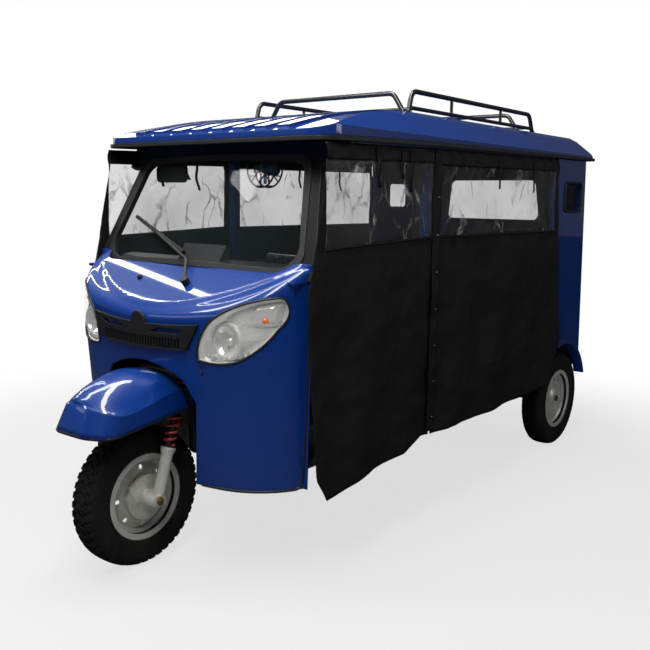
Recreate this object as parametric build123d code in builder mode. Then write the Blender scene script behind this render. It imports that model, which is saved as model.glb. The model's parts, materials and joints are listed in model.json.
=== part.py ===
from build123d import *
from math import asin, cos, radians, sin, sqrt, tan
import os

# Millimetres. The vehicle faces -Y, +X is its left side, the ground is Z = 0, Y = 0 is mid wheelbase.

# Wheels
wheel_base = 2594
rear_track = 1112
tyre_radius = 272
tyre_width = 120
bead_radius = 152
bead_width = 94
rim_flange = 16
rim_lip = 5
rim_well = 136
rim_wall = 6
disc_holes = 8
front_axle_radius = 9
rear_axle_radius = 17
hub_radius = 46
running_gap = 0.3
seat_gap = 0.3

# Steering and fork
rake = 16
steer_trail = 45
leg_spacing = 210
leg_offset = 31
leg_radius = 23
stanchion_radius = 17
cup_radius = 29
spring_radius = 27
spring_coils = 9
leg_length = 480
cup_height = 190
yoke_thickness = 26
yoke_depth = 96
stem_radius = 14
stem_length = 800
head_radius = 30
head_length = 200
bar_radius = 11
grip_radius = 16
grip_length = 125

# Front mudguard
guard_half_width = 150
guard_front = -1602
guard_rear = -1160
guard_rear_lean = 116
guard_top = 772
guard_hem = 566
guard_hem_rise = 46
guard_wall = 5
guard_arc = 367
guard_arc_y = -1311
guard_crown_half = 118
guard_crown_drop = 56
guard_apron_drop = 98
guard_corner = 105

# Body and roof
floor_height = 412
floor_thickness = 16
panel_thickness = 24
post_size = 38
post_y = -180
curtain_thickness = 4
roof_half_width = 622
curtain_x = roof_half_width - 11
body_half_width = curtain_x - 11
flare_x = roof_half_width + 10
roof_front = -945
roof_rear = 1608
roof_top = 1782
roof_deck_half = 486
roof_wall = 16
roof_edge_front = 1632
roof_corner = 95
roof_edge_trim = 0.5
roof_rear_corner = 30
roof_edge_mid = 1650
roof_edge_rear = 1664
trim_reach = 12
trim_height = 16
trim_lap = 6
rib_pitch = 116
rib_width = 58
rib_setback = 24
rib_height = 8
rib_count = 8
quarter_front = 1184
quarter_front_top = 1076
quarter_rear_low = 1604
quarter_rear_top = 1540
arch_radius = 330
rack_tube = 11
rack_top = 1878
rack_low = 1806
rack_half_width = 450
rack_front = -150
rack_rear = 1110

# Front shell: plan sections, bonnet and openings
shell_wall = 20
shell_bottom = 340
shell_back = -985
shell_nose = -1270
shell_half_width = body_half_width + 3
nose_radius = 1600
nose_corner = 345
bonnet_slope = 34.6
bonnet_nose_height = 985
cowl_height = 1118
cowl_rise = 1178
well_bottom_width = 462
well_shoulder_width = 524
well_shoulder = 660
well_crown_width = 416
well_crown = 742
well_top = 796
lamp_depth = 60
lens_thickness = 8
grille_thickness = 12

# Windscreen
screen_lean = 24
screen_foot_y = -1045
screen_foot_z = 1140
screen_bulge = 45
screen_bulge_width = 1140
screen_frame_depth = 30
glass_thickness = 6
seal_width = 26
seal_depth = 22

# Frame and engine
engine_front = -500
engine_rear = -150
engine_half_width = 175
neck_y = -1008
rail_x = 330
rail_width = 50
rail_height = 60
rail_rear = 1540
rail_front = -930
beam_width = 50
axle_tube = 32
spring_x = 390
leaf_width = 46
leaf_thickness = 8
leaf_count = 4
leaf_half = 240
leaf_rise = 40

os.makedirs("parts", exist_ok=True)

front_axle_y = -wheel_base / 2
rear_axle_y = wheel_base / 2
rail_bottom = floor_height - rail_height
floor_top = floor_height + floor_thickness
steer_foot = Vector(0, front_axle_y + steer_trail, tyre_radius)
steer_axis = Vector(0, sin(radians(rake)), cos(radians(rake)))


def keep(builder, name):
    builder.part.label = name
    export_step(builder.part, f"parts/{name}.step")


def steer_plane(along, x=0, ahead=0):
    """Plane square to the steering axis; its local y points to the rear."""
    rearward = steer_axis.cross(Vector(1, 0, 0))
    spot = steer_foot + steer_axis * along + Vector(x, 0, 0) - rearward * ahead
    return Plane(origin=spot, x_dir=(1, 0, 0), z_dir=steer_axis)


def wheel_plane(x, y):
    """Plane through a wheel's centre: local x is the axle, local y is up."""
    return Plane(origin=(x, y, tyre_radius), x_dir=(1, 0, 0), z_dir=(0, -1, 0))


def axle_line(x, y):
    return Axis((x, y, tyre_radius), (1, 0, 0))


# Tyres: a bias-ply section with straight facets, so that the rings stay light
def tyre(name, x, y):
    half = tyre_width / 2
    bead = bead_width / 2 - seat_gap
    base = bead_radius + seat_gap
    lip = bead_radius + rim_flange + 2
    section = [
        (bead, base),
        (bead, lip),
        (0.96 * half, lip + 0.25 * (tyre_radius - lip)),
        (half, lip + 0.5 * (tyre_radius - lip)),
        (0.95 * half, tyre_radius - 28),
        (0.82 * half, tyre_radius - 9),
        (0.5 * half, tyre_radius),
    ]
    with BuildPart() as ring:
        with BuildSketch(wheel_plane(x, y)):
            with BuildLine():
                Polyline(*section, *[(-a, r) for a, r in reversed(section)], close=True)
            make_face()
        revolve(axis=axle_line(x, y))
    keep(ring, name)


# Rims: pressed barrel, dished disc with a ring of holes, and a hub sleeve on the axle
def rim(name, x, y, side, axle_radius):
    half = bead_width / 2
    barrel = [
        (half + rim_lip, bead_radius + rim_flange),
        (half, bead_radius + rim_flange),
        (half, bead_radius),
        (half - 18, bead_radius),
        (half - 28, rim_well),
    ]
    inner = [(a + (rim_lip if i < 3 else 2), r - rim_wall) for i, (a, r) in enumerate(barrel) if i > 1]
    right = barrel + [(-a, r) for a, r in reversed(barrel)]
    left = [(-a, r) for a, r in inner] + [(a, r) for a, r in reversed(inner)]
    disc = [
        (4 * side, rim_well - 1),
        (10 * side, rim_well - 1),
        (30 * side, 100),
        (26 * side, 64),
        (40 * side, hub_radius),
        (40 * side, axle_radius + running_gap),
        (-36 * side, axle_radius + running_gap),
        (-36 * side, hub_radius - 14),
        (18 * side, hub_radius - 4),
        (20 * side, 66),
        (23 * side, 98),
    ]
    with BuildPart() as wheel:
        with BuildSketch(wheel_plane(x, y)):
            with BuildLine():
                Polyline(*right, *left, close=True)
            make_face()
            with BuildLine():
                Polyline(*disc, close=True)
            make_face()
        revolve(axis=axle_line(x, y))
        with BuildSketch(Plane(origin=(x, y, tyre_radius), x_dir=(0, 1, 0), z_dir=(1, 0, 0))):
            with PolarLocations(112, disc_holes):
                Circle(9)
        extrude(amount=half, both=True, mode=Mode.SUBTRACT)
        with BuildSketch(Plane(origin=(x + 26 * side, y, tyre_radius), x_dir=(0, 1, 0), z_dir=(side, 0, 0))):
            with PolarLocations(70, 4):
                RegularPolygon(8, 6)
        extrude(amount=12)
    keep(wheel, name)


for name, x, y, side, axle_radius in (
    ("front", 0, front_axle_y, 1, front_axle_radius),
    ("rear_left", rear_track / 2, rear_axle_y, 1, rear_axle_radius),
    ("rear_right", -rear_track / 2, rear_axle_y, -1, rear_axle_radius),
):
    tyre(f"{name}_tyre", x, y)
    rim(f"{name}_rim", x, y, side, axle_radius)


# Fork: lower legs with axle lugs, springs on stanchions, yoke with stem, axle and brake plate
with BuildPart() as fork_legs:
    for x in (-leg_spacing / 2, leg_spacing / 2):
        with BuildSketch(steer_plane(-14, x, leg_offset)):
            Circle(leg_radius)
        extrude(amount=cup_height)
        with BuildSketch(steer_plane(cup_height - 30, x, leg_offset)):
            Circle(leg_radius)
        with BuildSketch(steer_plane(cup_height - 8, x, leg_offset)):
            Circle(cup_radius)
        loft()
        with BuildSketch(steer_plane(cup_height - 8, x, leg_offset)):
            Circle(cup_radius)
        extrude(amount=8)
        with BuildSketch(Plane(origin=(x, front_axle_y, tyre_radius), x_dir=(0, 1, 0), z_dir=(1, 0, 0))):
            SlotOverall(64, 42)
        extrude(amount=leg_radius, both=True)
    with BuildSketch(Plane(origin=(0, front_axle_y, tyre_radius), x_dir=(0, 1, 0), z_dir=(1, 0, 0))):
        Circle(front_axle_radius + seat_gap)
    extrude(amount=leg_spacing, both=True, mode=Mode.SUBTRACT)
keep(fork_legs, "fork_legs")

spring_top = leg_length - yoke_thickness - seat_gap
coil_pitch = (spring_top - cup_height - seat_gap) / spring_coils
with BuildPart() as fork_springs:
    for x in (-leg_spacing / 2, leg_spacing / 2):
        base = steer_plane(cup_height + seat_gap, x, leg_offset)
        side_plane = Plane(origin=base.origin, x_dir=(1, 0, 0), z_dir=-base.y_dir)
        with BuildSketch(side_plane):
            with BuildLine():
                rib = [(stanchion_radius + 1, 0)]
                for i in range(spring_coils):
                    rib.append((spring_radius - 7, i * coil_pitch))
                    rib.append((spring_radius, (i + 0.3) * coil_pitch))
                    rib.append((spring_radius, (i + 0.7) * coil_pitch))
                rib.append((spring_radius - 7, spring_coils * coil_pitch))
                rib.append((stanchion_radius + 1, spring_coils * coil_pitch))
                Polyline(*rib, close=True)
            make_face()
        revolve(axis=Axis(base.origin, steer_axis))
keep(fork_springs, "fork_springs")

with BuildPart() as front_axle:
    with BuildSketch(Plane(origin=(0, front_axle_y, tyre_radius), x_dir=(0, 1, 0), z_dir=(1, 0, 0))):
        Circle(front_axle_radius)
    extrude(amount=leg_spacing / 2 + 34, both=True)
    for way in (-1, 1):
        nut_x = way * (leg_spacing / 2 + leg_radius + seat_gap)
        nut_place = (nut_x, front_axle_y, tyre_radius)
        with BuildSketch(Plane(origin=nut_place, x_dir=(0, 1, 0), z_dir=(way, 0, 0))):
            RegularPolygon(16, 6)
        extrude(amount=9)
keep(front_axle, "front_axle")

plate_x = 46
with BuildPart() as brake_plate:
    with BuildSketch(Plane(origin=(plate_x, front_axle_y, tyre_radius), x_dir=(0, 1, 0), z_dir=(1, 0, 0))):
        Circle(88)
        Circle(front_axle_radius + seat_gap, mode=Mode.SUBTRACT)
    extrude(amount=10)
    plate_place = (plate_x + 10, front_axle_y, tyre_radius)
    with BuildSketch(Plane(origin=plate_place, x_dir=(0, 1, 0), z_dir=(1, 0, 0))):
        Circle(34)
        Circle(front_axle_radius + seat_gap, mode=Mode.SUBTRACT)
    extrude(amount=leg_spacing / 2 - leg_radius - seat_gap - plate_x - 10)
    with BuildSketch(Plane(origin=plate_place, x_dir=(0, 1, 0), z_dir=(1, 0, 0))):
        with Locations(Location((-64, 26), -65)):
            SlotCenterToCenter(62, 20)
    extrude(amount=8)
keep(brake_plate, "brake_plate")


# Mudguard: a crowned section turned about a cross axis, cut to a hem, a rear edge and a rounded nose
def guard_form(inset, through):
    """Guard grown inwards by the inset; through lowers its cuts, so that the form opens below and behind."""
    half = guard_half_width - inset
    nose = guard_front + inset
    arc_z = guard_top - guard_arc
    crown = (guard_crown_half - inset / 2, guard_arc - guard_crown_drop - inset)
    apron = (half, guard_arc - guard_apron_drop - inset / 2)
    ahead = guard_front - 50
    above = guard_top + 50
    with BuildPart() as form:
        with BuildSketch(Plane(origin=(0, guard_arc_y, arc_z), x_dir=(1, 0, 0), z_dir=(0, -1, 0))):
            with BuildLine():
                ThreePointArc((-crown[0], crown[1]), (0, guard_arc - inset), crown)
                Polyline(crown, apron, (half, 0), (-half, 0), (-apron[0], apron[1]), (-crown[0], crown[1]))
            make_face()
        revolve(axis=Axis((0, guard_arc_y, arc_z), (1, 0, 0)))
        with BuildSketch(Plane.YZ):
            with BuildLine():
                Polyline(
                    (ahead, guard_hem + 10 - through),
                    (guard_front + guard_corner, guard_hem - through),
                    (guard_rear + through, guard_hem + guard_hem_rise - through),
                    (guard_rear - guard_rear_lean + through, above),
                    (ahead, above),
                    close=True,
                )
            make_face()
        extrude(amount=half, both=True, mode=Mode.INTERSECT)
        with BuildSketch(Plane.XY):
            with BuildLine():
                corner = (half, guard_front + guard_corner)
                turn = (half - 20, guard_front + 46)
                brow = (0.55 * half, nose + 10)
                ThreePointArc(corner, turn, brow)
                ThreePointArc(brow, (0, nose), (-brow[0], brow[1]))
                ThreePointArc((-brow[0], brow[1]), (-turn[0], turn[1]), (-corner[0], corner[1]))
                Polyline((-half, corner[1]), (-half, guard_rear + 100), (half, guard_rear + 100), corner)
            make_face()
        extrude(amount=above, mode=Mode.INTERSECT)
    return form.part


with BuildPart() as front_mudguard:
    add(guard_form(0, 0))
    add(guard_form(guard_wall, 60), mode=Mode.SUBTRACT)
keep(front_mudguard, "front_mudguard")

# Yoke with stanchions and stem; a strap under the guard's crown carries the guard
strap_half_width = 40
strap_thickness = 8
strap_front = -1300
strap_rear = -1166
with BuildPart() as strap:
    add(guard_form(guard_wall + seat_gap, 60))
    add(guard_form(guard_wall + seat_gap + strap_thickness, 120), mode=Mode.SUBTRACT)
    with Locations((0, (strap_front + strap_rear) / 2, guard_top)):
        Box(2 * strap_half_width, strap_rear - strap_front, 160, mode=Mode.INTERSECT)

with BuildPart() as fork_yoke:
    with BuildSketch(steer_plane(leg_length - yoke_thickness)):
        with Locations((0, -leg_offset / 2)):
            RectangleRounded(leg_spacing + 2 * leg_radius + 14, yoke_depth, 24)
    extrude(amount=yoke_thickness)
    with BuildSketch(steer_plane(leg_length)):
        Circle(stem_radius)
    extrude(amount=stem_length - leg_length)
    for x in (-leg_spacing / 2, leg_spacing / 2):
        with BuildSketch(steer_plane(cup_height + seat_gap, x, leg_offset)):
            Circle(stanchion_radius)
        extrude(amount=leg_length - cup_height - yoke_thickness)
    with BuildSketch(steer_plane(leg_length + head_length + 12)):
        Circle(head_radius)
    extrude(amount=14)
    add(strap.part)
keep(fork_yoke, "fork_yoke")

# Handlebar: collar on the stem, riser and one bent tube with thicker grips
riser_plane = steer_plane(stem_length - 26)
bar_seat = riser_plane.from_local_coords((0, 70, 12))
with BuildPart() as handlebar:
    with BuildSketch(riser_plane):
        Circle(28)
        with Locations((0, 36)):
            Rectangle(44, 78)
        Circle(stem_radius + seat_gap, mode=Mode.SUBTRACT)
    extrude(amount=24)
    half_path = [
        (290, bar_seat.Y + 328, bar_seat.Z + 6),
        (222, bar_seat.Y + 178, bar_seat.Z + 6),
        (150, bar_seat.Y, bar_seat.Z),
    ]
    with BuildLine() as bar_path:
        FilletPolyline(*half_path, *[(-x, y, z) for x, y, z in reversed(half_path)], radius=40)
    with BuildSketch(Plane(origin=bar_path.line @ 0, z_dir=bar_path.line % 0)):
        Circle(bar_radius)
    sweep(path=bar_path.line)
    for at in (0, 1):
        inward = (bar_path.line % at) * (1 if at == 0 else -1)
        with BuildSketch(Plane(origin=bar_path.line @ at, z_dir=inward)):
            Circle(grip_radius)
        extrude(amount=grip_length)
keep(handlebar, "handlebar")


# Front shell: lofted plan sections cut by the bonnet's slope, hollow, open behind and below
nose_sections = (
    # height, front, half width
    (270, shell_nose + 52, shell_half_width - 14),
    (870, shell_nose, shell_half_width),
    (1200, shell_nose, shell_half_width),
)
nose_reach = 1500


def nose_form(inset, through=0, top=cowl_height):
    tilt = asin(nose_corner / nose_radius)
    with BuildPart() as form:
        for height, front, half_width in nose_sections:
            half = half_width - inset
            bow = nose_radius * (1 - cos(tilt))
            turn = (half_width - nose_corner) / (1 - sin(tilt))
            start = Vector(nose_corner + inset * -sin(tilt), front + bow + inset * cos(tilt))
            side = Vector(half, front + bow + turn * cos(tilt))
            across = Vector(cos(tilt), sin(tilt))
            with BuildSketch(Plane.XY.offset(height)):
                with BuildLine():
                    ThreePointArc((-start.X, start.Y), (0, front + inset), (start.X, start.Y))
                    TangentArc((start.X, start.Y), (side.X, side.Y), tangent=across)
                    Polyline((side.X, side.Y), (side.X, -700), (-side.X, -700), (-side.X, side.Y))
                    TangentArc((-start.X, start.Y), (-side.X, side.Y), tangent=(-across.X, across.Y))
                make_face()
        loft()
        drop = inset / cos(radians(bonnet_slope))
        rise = tan(radians(bonnet_slope))
        cowl = top - inset
        cowl_y = shell_nose + (cowl - bonnet_nose_height + drop) / rise
        bottom = shell_bottom - through
        with BuildSketch(Plane.YZ):
            with BuildLine():
                Polyline(
                    (shell_back + through, bottom),
                    (-nose_reach, bottom),
                    (-nose_reach, bonnet_nose_height - drop + rise * (-nose_reach - shell_nose)),
                    (cowl_y, cowl),
                    (shell_back + through, cowl),
                    close=True,
                )
            make_face()
        extrude(amount=nose_reach, both=True, mode=Mode.INTERSECT)
    return form.part


def lamp_outline(inset):
    """Almond lamp opening seen from the front, left side; mirrored for the right."""
    with BuildSketch() as outline:
        with BuildLine():
            heel = (284 + inset, 828 + inset)
            brow = (333 + inset, 966 - inset)
            tip = (556 - inset, 1064 - inset)
            cheek = (546 - inset, 950)
            sole = (436, 831 + inset)
            ThreePointArc(heel, (296 + inset, 904), brow)
            ThreePointArc(brow, (436, 1032 - inset), tip)
            ThreePointArc(tip, (567 - inset, 1010), cheek)
            ThreePointArc(cheek, (503 - inset, 882 + inset), sole)
            ThreePointArc(sole, (360, 820 + inset), heel)
        make_face()
        mirror(about=Plane.YZ)
    return outline.sketch


# Windscreen: one curved slab in a leaning plane; frame, seal and glass share its outline
screen_plane = Plane(
    origin=(0, screen_foot_y, screen_foot_z),
    x_dir=(1, 0, 0),
    z_dir=(0, -cos(radians(screen_lean)), sin(radians(screen_lean))),
)
screen_up = screen_plane.y_dir
screen_radius = ((screen_bulge_width / 2) ** 2 + screen_bulge**2) / (2 * screen_bulge)
screen_height = 482
screen_sill = 0


def screen_slab(outer, inner):
    """Curved slab between two depths behind the screen's outer face."""
    foot = screen_plane.origin - screen_up * 120
    half = 680
    sag_outer = screen_radius + 0 - sqrt(screen_radius**2 - half**2)
    with BuildPart() as slab:
        with BuildSketch(Plane(origin=foot, x_dir=(1, 0, 0), z_dir=screen_up)):
            with BuildLine():
                ThreePointArc((-half, sag_outer + outer), (0, outer), (half, sag_outer + outer))
                Line((half, sag_outer + outer), (half, sag_outer + inner))
                ThreePointArc((half, sag_outer + inner), (0, inner), (-half, sag_outer + inner))
                Line((-half, sag_outer + inner), (-half, sag_outer + outer))
            make_face()
        extrude(amount=screen_height + 300)
    return slab.part


def screen_outline(inset):
    """Windscreen opening: large lower corners, small upper ones."""
    bottom = screen_sill + inset
    top = screen_height - inset
    low = 574 - inset
    high = 470 - inset
    lean = (low - high) / (top - bottom)
    foot = (low - lean * 118, bottom + 118)
    brow = (high + lean * 40, top - 40)
    with BuildSketch() as outline:
        with BuildLine():
            Line((118 - low, bottom), (low - 118, bottom))
            for way in (-1, 1):
                heel = (way * (low - 118), bottom)
                bend = (way * (low - 36), bottom + 36)
                ThreePointArc(heel, bend, (way * foot[0], foot[1]))
                Line((way * foot[0], foot[1]), (way * brow[0], brow[1]))
                bend = (way * (high - 10), top - 12)
                ThreePointArc((way * brow[0], brow[1]), bend, (way * (high - 44), top))
            Line((high - 44, top), (44 - high, top))
        make_face()
    return outline.sketch


# The bonnet's slope runs on above the cowl up to the screen, and rises round the screen's lower corners
with BuildPart() as cowl_lip:
    add(nose_form(0, top=cowl_rise))
    lip_foot = cowl_height - shell_wall / 2
    with Locations((0, shell_back, lip_foot / 2)):
        Box(2 * nose_reach, 2 * nose_reach, lip_foot, mode=Mode.SUBTRACT)
    add(screen_slab(-seat_gap, nose_reach), mode=Mode.SUBTRACT)
    with BuildSketch(screen_plane):
        add(screen_outline(0))
    extrude(amount=200, both=True, mode=Mode.SUBTRACT)

with BuildPart() as front_shell:
    add(nose_form(0))
    add(nose_form(shell_wall, 60), mode=Mode.SUBTRACT)
    with BuildSketch(Plane.XZ):
        add(lamp_outline(0))
    extrude(amount=nose_reach, mode=Mode.SUBTRACT)
    with BuildSketch(Plane.XZ):
        with BuildLine():
            well_side = [
                (well_crown_width / 2, well_crown),
                (well_shoulder_width / 2, well_shoulder),
                (well_bottom_width / 2, shell_bottom - 20),
            ]
            Polyline(*well_side, *[(-x, z) for x, z in reversed(well_side)])
            ThreePointArc((-well_crown_width / 2, well_crown), (0, well_top), well_side[0])
        make_face()
    extrude(amount=nose_reach, mode=Mode.SUBTRACT)
    add(cowl_lip.part)
keep(front_shell, "front_shell")

lamp_bowl_face = 4
with BuildPart() as headlamp_bowls:
    add(nose_form(lamp_bowl_face))
    add(nose_form(lamp_depth, 60), mode=Mode.SUBTRACT)
    with BuildSketch(Plane.XZ):
        add(lamp_outline(seat_gap))
    extrude(amount=nose_reach, mode=Mode.INTERSECT)
keep(headlamp_bowls, "headlamp_bowls")

with BuildPart() as headlamp_lenses:
    add(nose_form(lamp_bowl_face - lens_thickness))
    add(nose_form(lamp_bowl_face, 60), mode=Mode.SUBTRACT)
    with BuildSketch(Plane.XZ):
        add(lamp_outline(seat_gap))
    extrude(amount=nose_reach, mode=Mode.INTERSECT)
keep(headlamp_lenses, "headlamp_lenses")

# Grille: bar with two slots and a round boss over a field of upright slats
grille_top = 958
grille_low = 848
slat_pitch = 15
with BuildPart() as grille:
    add(nose_form(-grille_thickness))
    add(nose_form(0, 60), mode=Mode.SUBTRACT)
    with BuildSketch(Plane.XZ):
        with BuildLine():
            ThreePointArc((-244, 858), (0, grille_low), (244, 858))
            Line((244, 858), (298, grille_top))
            ThreePointArc((298, grille_top), (0, grille_top - 16), (-298, grille_top))
            Line((-298, grille_top), (-244, 858))
        make_face()
        with Locations((0, 944)):
            Circle(40)
    extrude(amount=nose_reach, mode=Mode.INTERSECT)
    with BuildSketch(Plane.XZ):
        for way in (-1, 1):
            with BuildLine():
                Polyline((way * 66, 914), (way * 108, 932), (way * 244, 936), (way * 200, 916), close=True)
            make_face()
        for i in range(-14, 15):
            with Locations((i * slat_pitch, 876 + 0.00009 * (i * slat_pitch) ** 2)):
                Rectangle(slat_pitch - 5, 38)
    extrude(amount=nose_reach, mode=Mode.SUBTRACT)
keep(grille, "grille")


frame_top = roof_edge_front
with BuildPart() as screen_frame:
    add(screen_slab(0, screen_frame_depth))
    with BuildSketch(screen_plane):
        with BuildLine():
            head = screen_height - 36
            side = [(604, -60), (604, 80), (516, head), (609, head + 12), (609, screen_height + 140)]
            Polyline(*side, *[(-x, y) for x, y in reversed(side)], close=True)
        make_face()
    extrude(amount=200, both=True, mode=Mode.INTERSECT)
    with BuildSketch(screen_plane):
        add(screen_outline(0))
    extrude(amount=200, both=True, mode=Mode.SUBTRACT)
    with BuildSketch(Plane.YZ):
        with Locations((screen_foot_y, (cowl_height + seat_gap + frame_top) / 2)):
            Rectangle(1000, frame_top - cowl_height - seat_gap)
    extrude(amount=800, both=True, mode=Mode.INTERSECT)
keep(screen_frame, "screen_frame")

seal_face = -4
with BuildPart() as screen_seal:
    add(screen_slab(seal_face, seal_face + seal_depth))
    with BuildSketch(screen_plane):
        add(screen_outline(seat_gap))
    extrude(amount=200, both=True, mode=Mode.INTERSECT)
    with BuildSketch(screen_plane):
        add(screen_outline(seal_width))
    extrude(amount=200, both=True, mode=Mode.SUBTRACT)
keep(screen_seal, "screen_seal")

glass_face = 5
with BuildPart() as screen_glass:
    add(screen_slab(glass_face, glass_face + glass_thickness))
    with BuildSketch(screen_plane):
        add(screen_outline(seal_width + seat_gap))
    extrude(amount=200, both=True, mode=Mode.INTERSECT)
keep(screen_glass, "screen_glass")

# Wiper: boss on the bonnet, bent arm, and a blade lying on the glass
wiper_boss = (105, -1128)
blade_foot = (-20, 54)
blade_tip = (-400, 205)
bonnet_normal = Vector(0, -sin(radians(bonnet_slope)), cos(radians(bonnet_slope)))
boss_z = bonnet_nose_height + tan(radians(bonnet_slope)) * (wiper_boss[1] - shell_nose)
boss_seat = Vector(*wiper_boss, boss_z) + bonnet_normal * seat_gap
with BuildPart() as wiper:
    add(screen_slab(-16, glass_face - seat_gap))
    with BuildSketch(screen_plane):
        with BuildLine():
            Line(blade_foot, blade_tip)
        trace(line_width=14)
    extrude(amount=200, both=True, mode=Mode.INTERSECT)
    with BuildSketch(Plane(origin=boss_seat, x_dir=(1, 0, 0), z_dir=bonnet_normal)):
        Circle(16)
    extrude(amount=26)
    with BuildLine() as arm:
        FilletPolyline(
            boss_seat + bonnet_normal * 18,
            screen_plane.from_local_coords((30, 20, 26)),
            screen_plane.from_local_coords((-215, 130, 10)),
            radius=60,
        )
    with BuildSketch(Plane(origin=arm.line @ 0, z_dir=arm.line % 0)):
        Circle(6)
    sweep(path=arm.line)
keep(wiper, "wiper")


# Frame: two box rails, cross members, neck and steering head
with BuildPart() as chassis_frame:
    rail_mid = (rail_front + rail_rear) / 2
    for x in (-rail_x, rail_x):
        with Locations((x, rail_mid, rail_bottom + rail_height / 2)):
            Box(rail_width, rail_rear - rail_front, rail_height)
    engine_beams = (engine_front - beam_width / 2 - seat_gap, engine_rear + beam_width / 2 + seat_gap)
    for y in (rail_front + beam_width / 2, *engine_beams, 420, 880, rail_rear - beam_width / 2):
        with Locations((0, y, rail_bottom + rail_height / 2)):
            Box(2 * rail_x, beam_width, rail_height)
    for y in (rear_axle_y - leaf_half + 8, rear_axle_y + leaf_half - 8):
        hanger_low = tyre_radius + axle_tube + leaf_count * leaf_thickness + leaf_rise + 2 * seat_gap
        for way in (-1, 1):
            hanger_x = way * (rail_x + spring_x + leaf_width / 2) / 2
            with Locations((hanger_x, y, (hanger_low + floor_height) / 2)):
                Box(spring_x + leaf_width / 2 - rail_x, 16, floor_height - hanger_low)
    head_low = steer_foot + steer_axis * (leg_length + 6)
    with BuildSketch(Plane(origin=head_low, x_dir=(1, 0, 0), z_dir=steer_axis)):
        Circle(head_radius)
    extrude(amount=head_length)
    neck_top = steer_foot + steer_axis * (leg_length + head_length * 0.55)
    with BuildLine() as neck:
        FilletPolyline(
            (0, rail_front + beam_width / 2, rail_bottom + 30),
            (0, neck_y, rail_bottom + 30),
            (0, neck_y, neck_top.Z - 60),
            (0, neck_top.Y + 12, neck_top.Z),
            radius=26,
        )
    with BuildSketch(Plane(origin=neck.line @ 0, z_dir=neck.line % 0)):
        Circle(22)
    sweep(path=neck.line)
    with BuildSketch(Plane(origin=head_low - steer_axis * 20, x_dir=(1, 0, 0), z_dir=steer_axis)):
        Circle(stem_radius + running_gap)
    extrude(amount=head_length + 60, mode=Mode.SUBTRACT)
keep(chassis_frame, "chassis_frame")

# Floor pan with its upright toe board behind the front wheel
toe_y = shell_back + seat_gap
toe_top = 940
toe_thickness = 12
toe_inset = 16
floor_rear = quarter_rear_low - 70
with BuildPart() as floor_pan:
    with Locations((0, (toe_y + floor_rear) / 2, floor_height + floor_thickness / 2)):
        Box(2 * (body_half_width - panel_thickness - seat_gap), floor_rear - toe_y, floor_thickness)
    with BuildSketch(Plane.XY.offset(floor_height)):
        for x in (-1, 1):
            with Locations((x * (body_half_width - 65), rear_axle_y)):
                Rectangle(220, 2 * arch_radius + 70)
        with Locations((0, (engine_front + engine_rear) / 2)):
            Rectangle(2 * engine_half_width + 20, engine_rear - engine_front + 20)
    extrude(amount=floor_thickness, mode=Mode.SUBTRACT)
    with Locations((0, toe_y + toe_thickness / 2, (floor_height + toe_top) / 2)):
        Box(2 * (shell_half_width - toe_inset), toe_thickness, toe_top - floor_height)
keep(floor_pan, "floor_pan")

with BuildPart() as engine_block:
    with Locations((0, (engine_front + engine_rear) / 2, 480)):
        Box(2 * engine_half_width, engine_rear - engine_front, 340)
    chamfer(engine_block.edges().filter_by(Axis.Y), length=40)
keep(engine_block, "engine_block")


# Roof: deck with sloping sides and a drooping front, hollow below; ribs run along the deck
roof_knee = -160
front_rise_y = -200


def roof_plan(grow):
    """Plan of the roof, with round front corners, grown by a margin."""
    with BuildSketch() as plan:
        with Locations((0, (roof_front + roof_rear) / 2)):
            Rectangle(2 * (roof_half_width + grow), roof_rear - roof_front + 2 * grow)
        fillet(plan.vertices().group_by(Axis.Y)[0], radius=roof_corner + grow)
        fillet(plan.vertices().group_by(Axis.Y)[-1], radius=roof_rear_corner + grow)
    return plan.sketch


def roof_form(inset, through=0):
    edge = [
        (roof_rear - inset, roof_edge_rear - through),
        (roof_knee, roof_edge_mid - through),
        (roof_front + inset, roof_edge_front - through),
    ]
    with BuildPart() as form:
        with BuildSketch(Plane.YZ):
            with BuildLine():
                Polyline(*edge, (roof_front + inset, roof_edge_front + 26 - inset))
                ThreePointArc(
                    (roof_front + inset, roof_edge_front + 26 - inset),
                    (-640, roof_top - 50 - inset),
                    (front_rise_y, roof_top - inset),
                )
                Polyline(
                    (front_rise_y, roof_top - inset),
                    (roof_rear - 60 - inset, roof_top - inset),
                    (roof_rear - inset, roof_edge_rear + 30 - inset),
                    edge[0],
                )
            make_face()
        extrude(amount=roof_half_width + roof_corner, both=True)
        with BuildSketch(Plane.XZ):
            with BuildLine():
                half = roof_half_width - inset
                deck = roof_deck_half - 0.4 * inset
                side = [
                    (half + roof_corner, 1500),
                    (half + roof_corner, roof_edge_front - inset),
                    (half - 6, roof_edge_mid + 26 - inset),
                ]
                side += [(deck + 40, roof_top - 22 - inset), (deck, roof_top - inset)]
                Polyline(*side, *[(-x, z) for x, z in reversed(side)], close=True)
            make_face()
        extrude(amount=2000, both=True, mode=Mode.INTERSECT)
        with BuildSketch(Plane.XY):
            add(roof_plan(-inset - roof_edge_trim))
        extrude(amount=2000, mode=Mode.INTERSECT)
    return form.part


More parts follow.
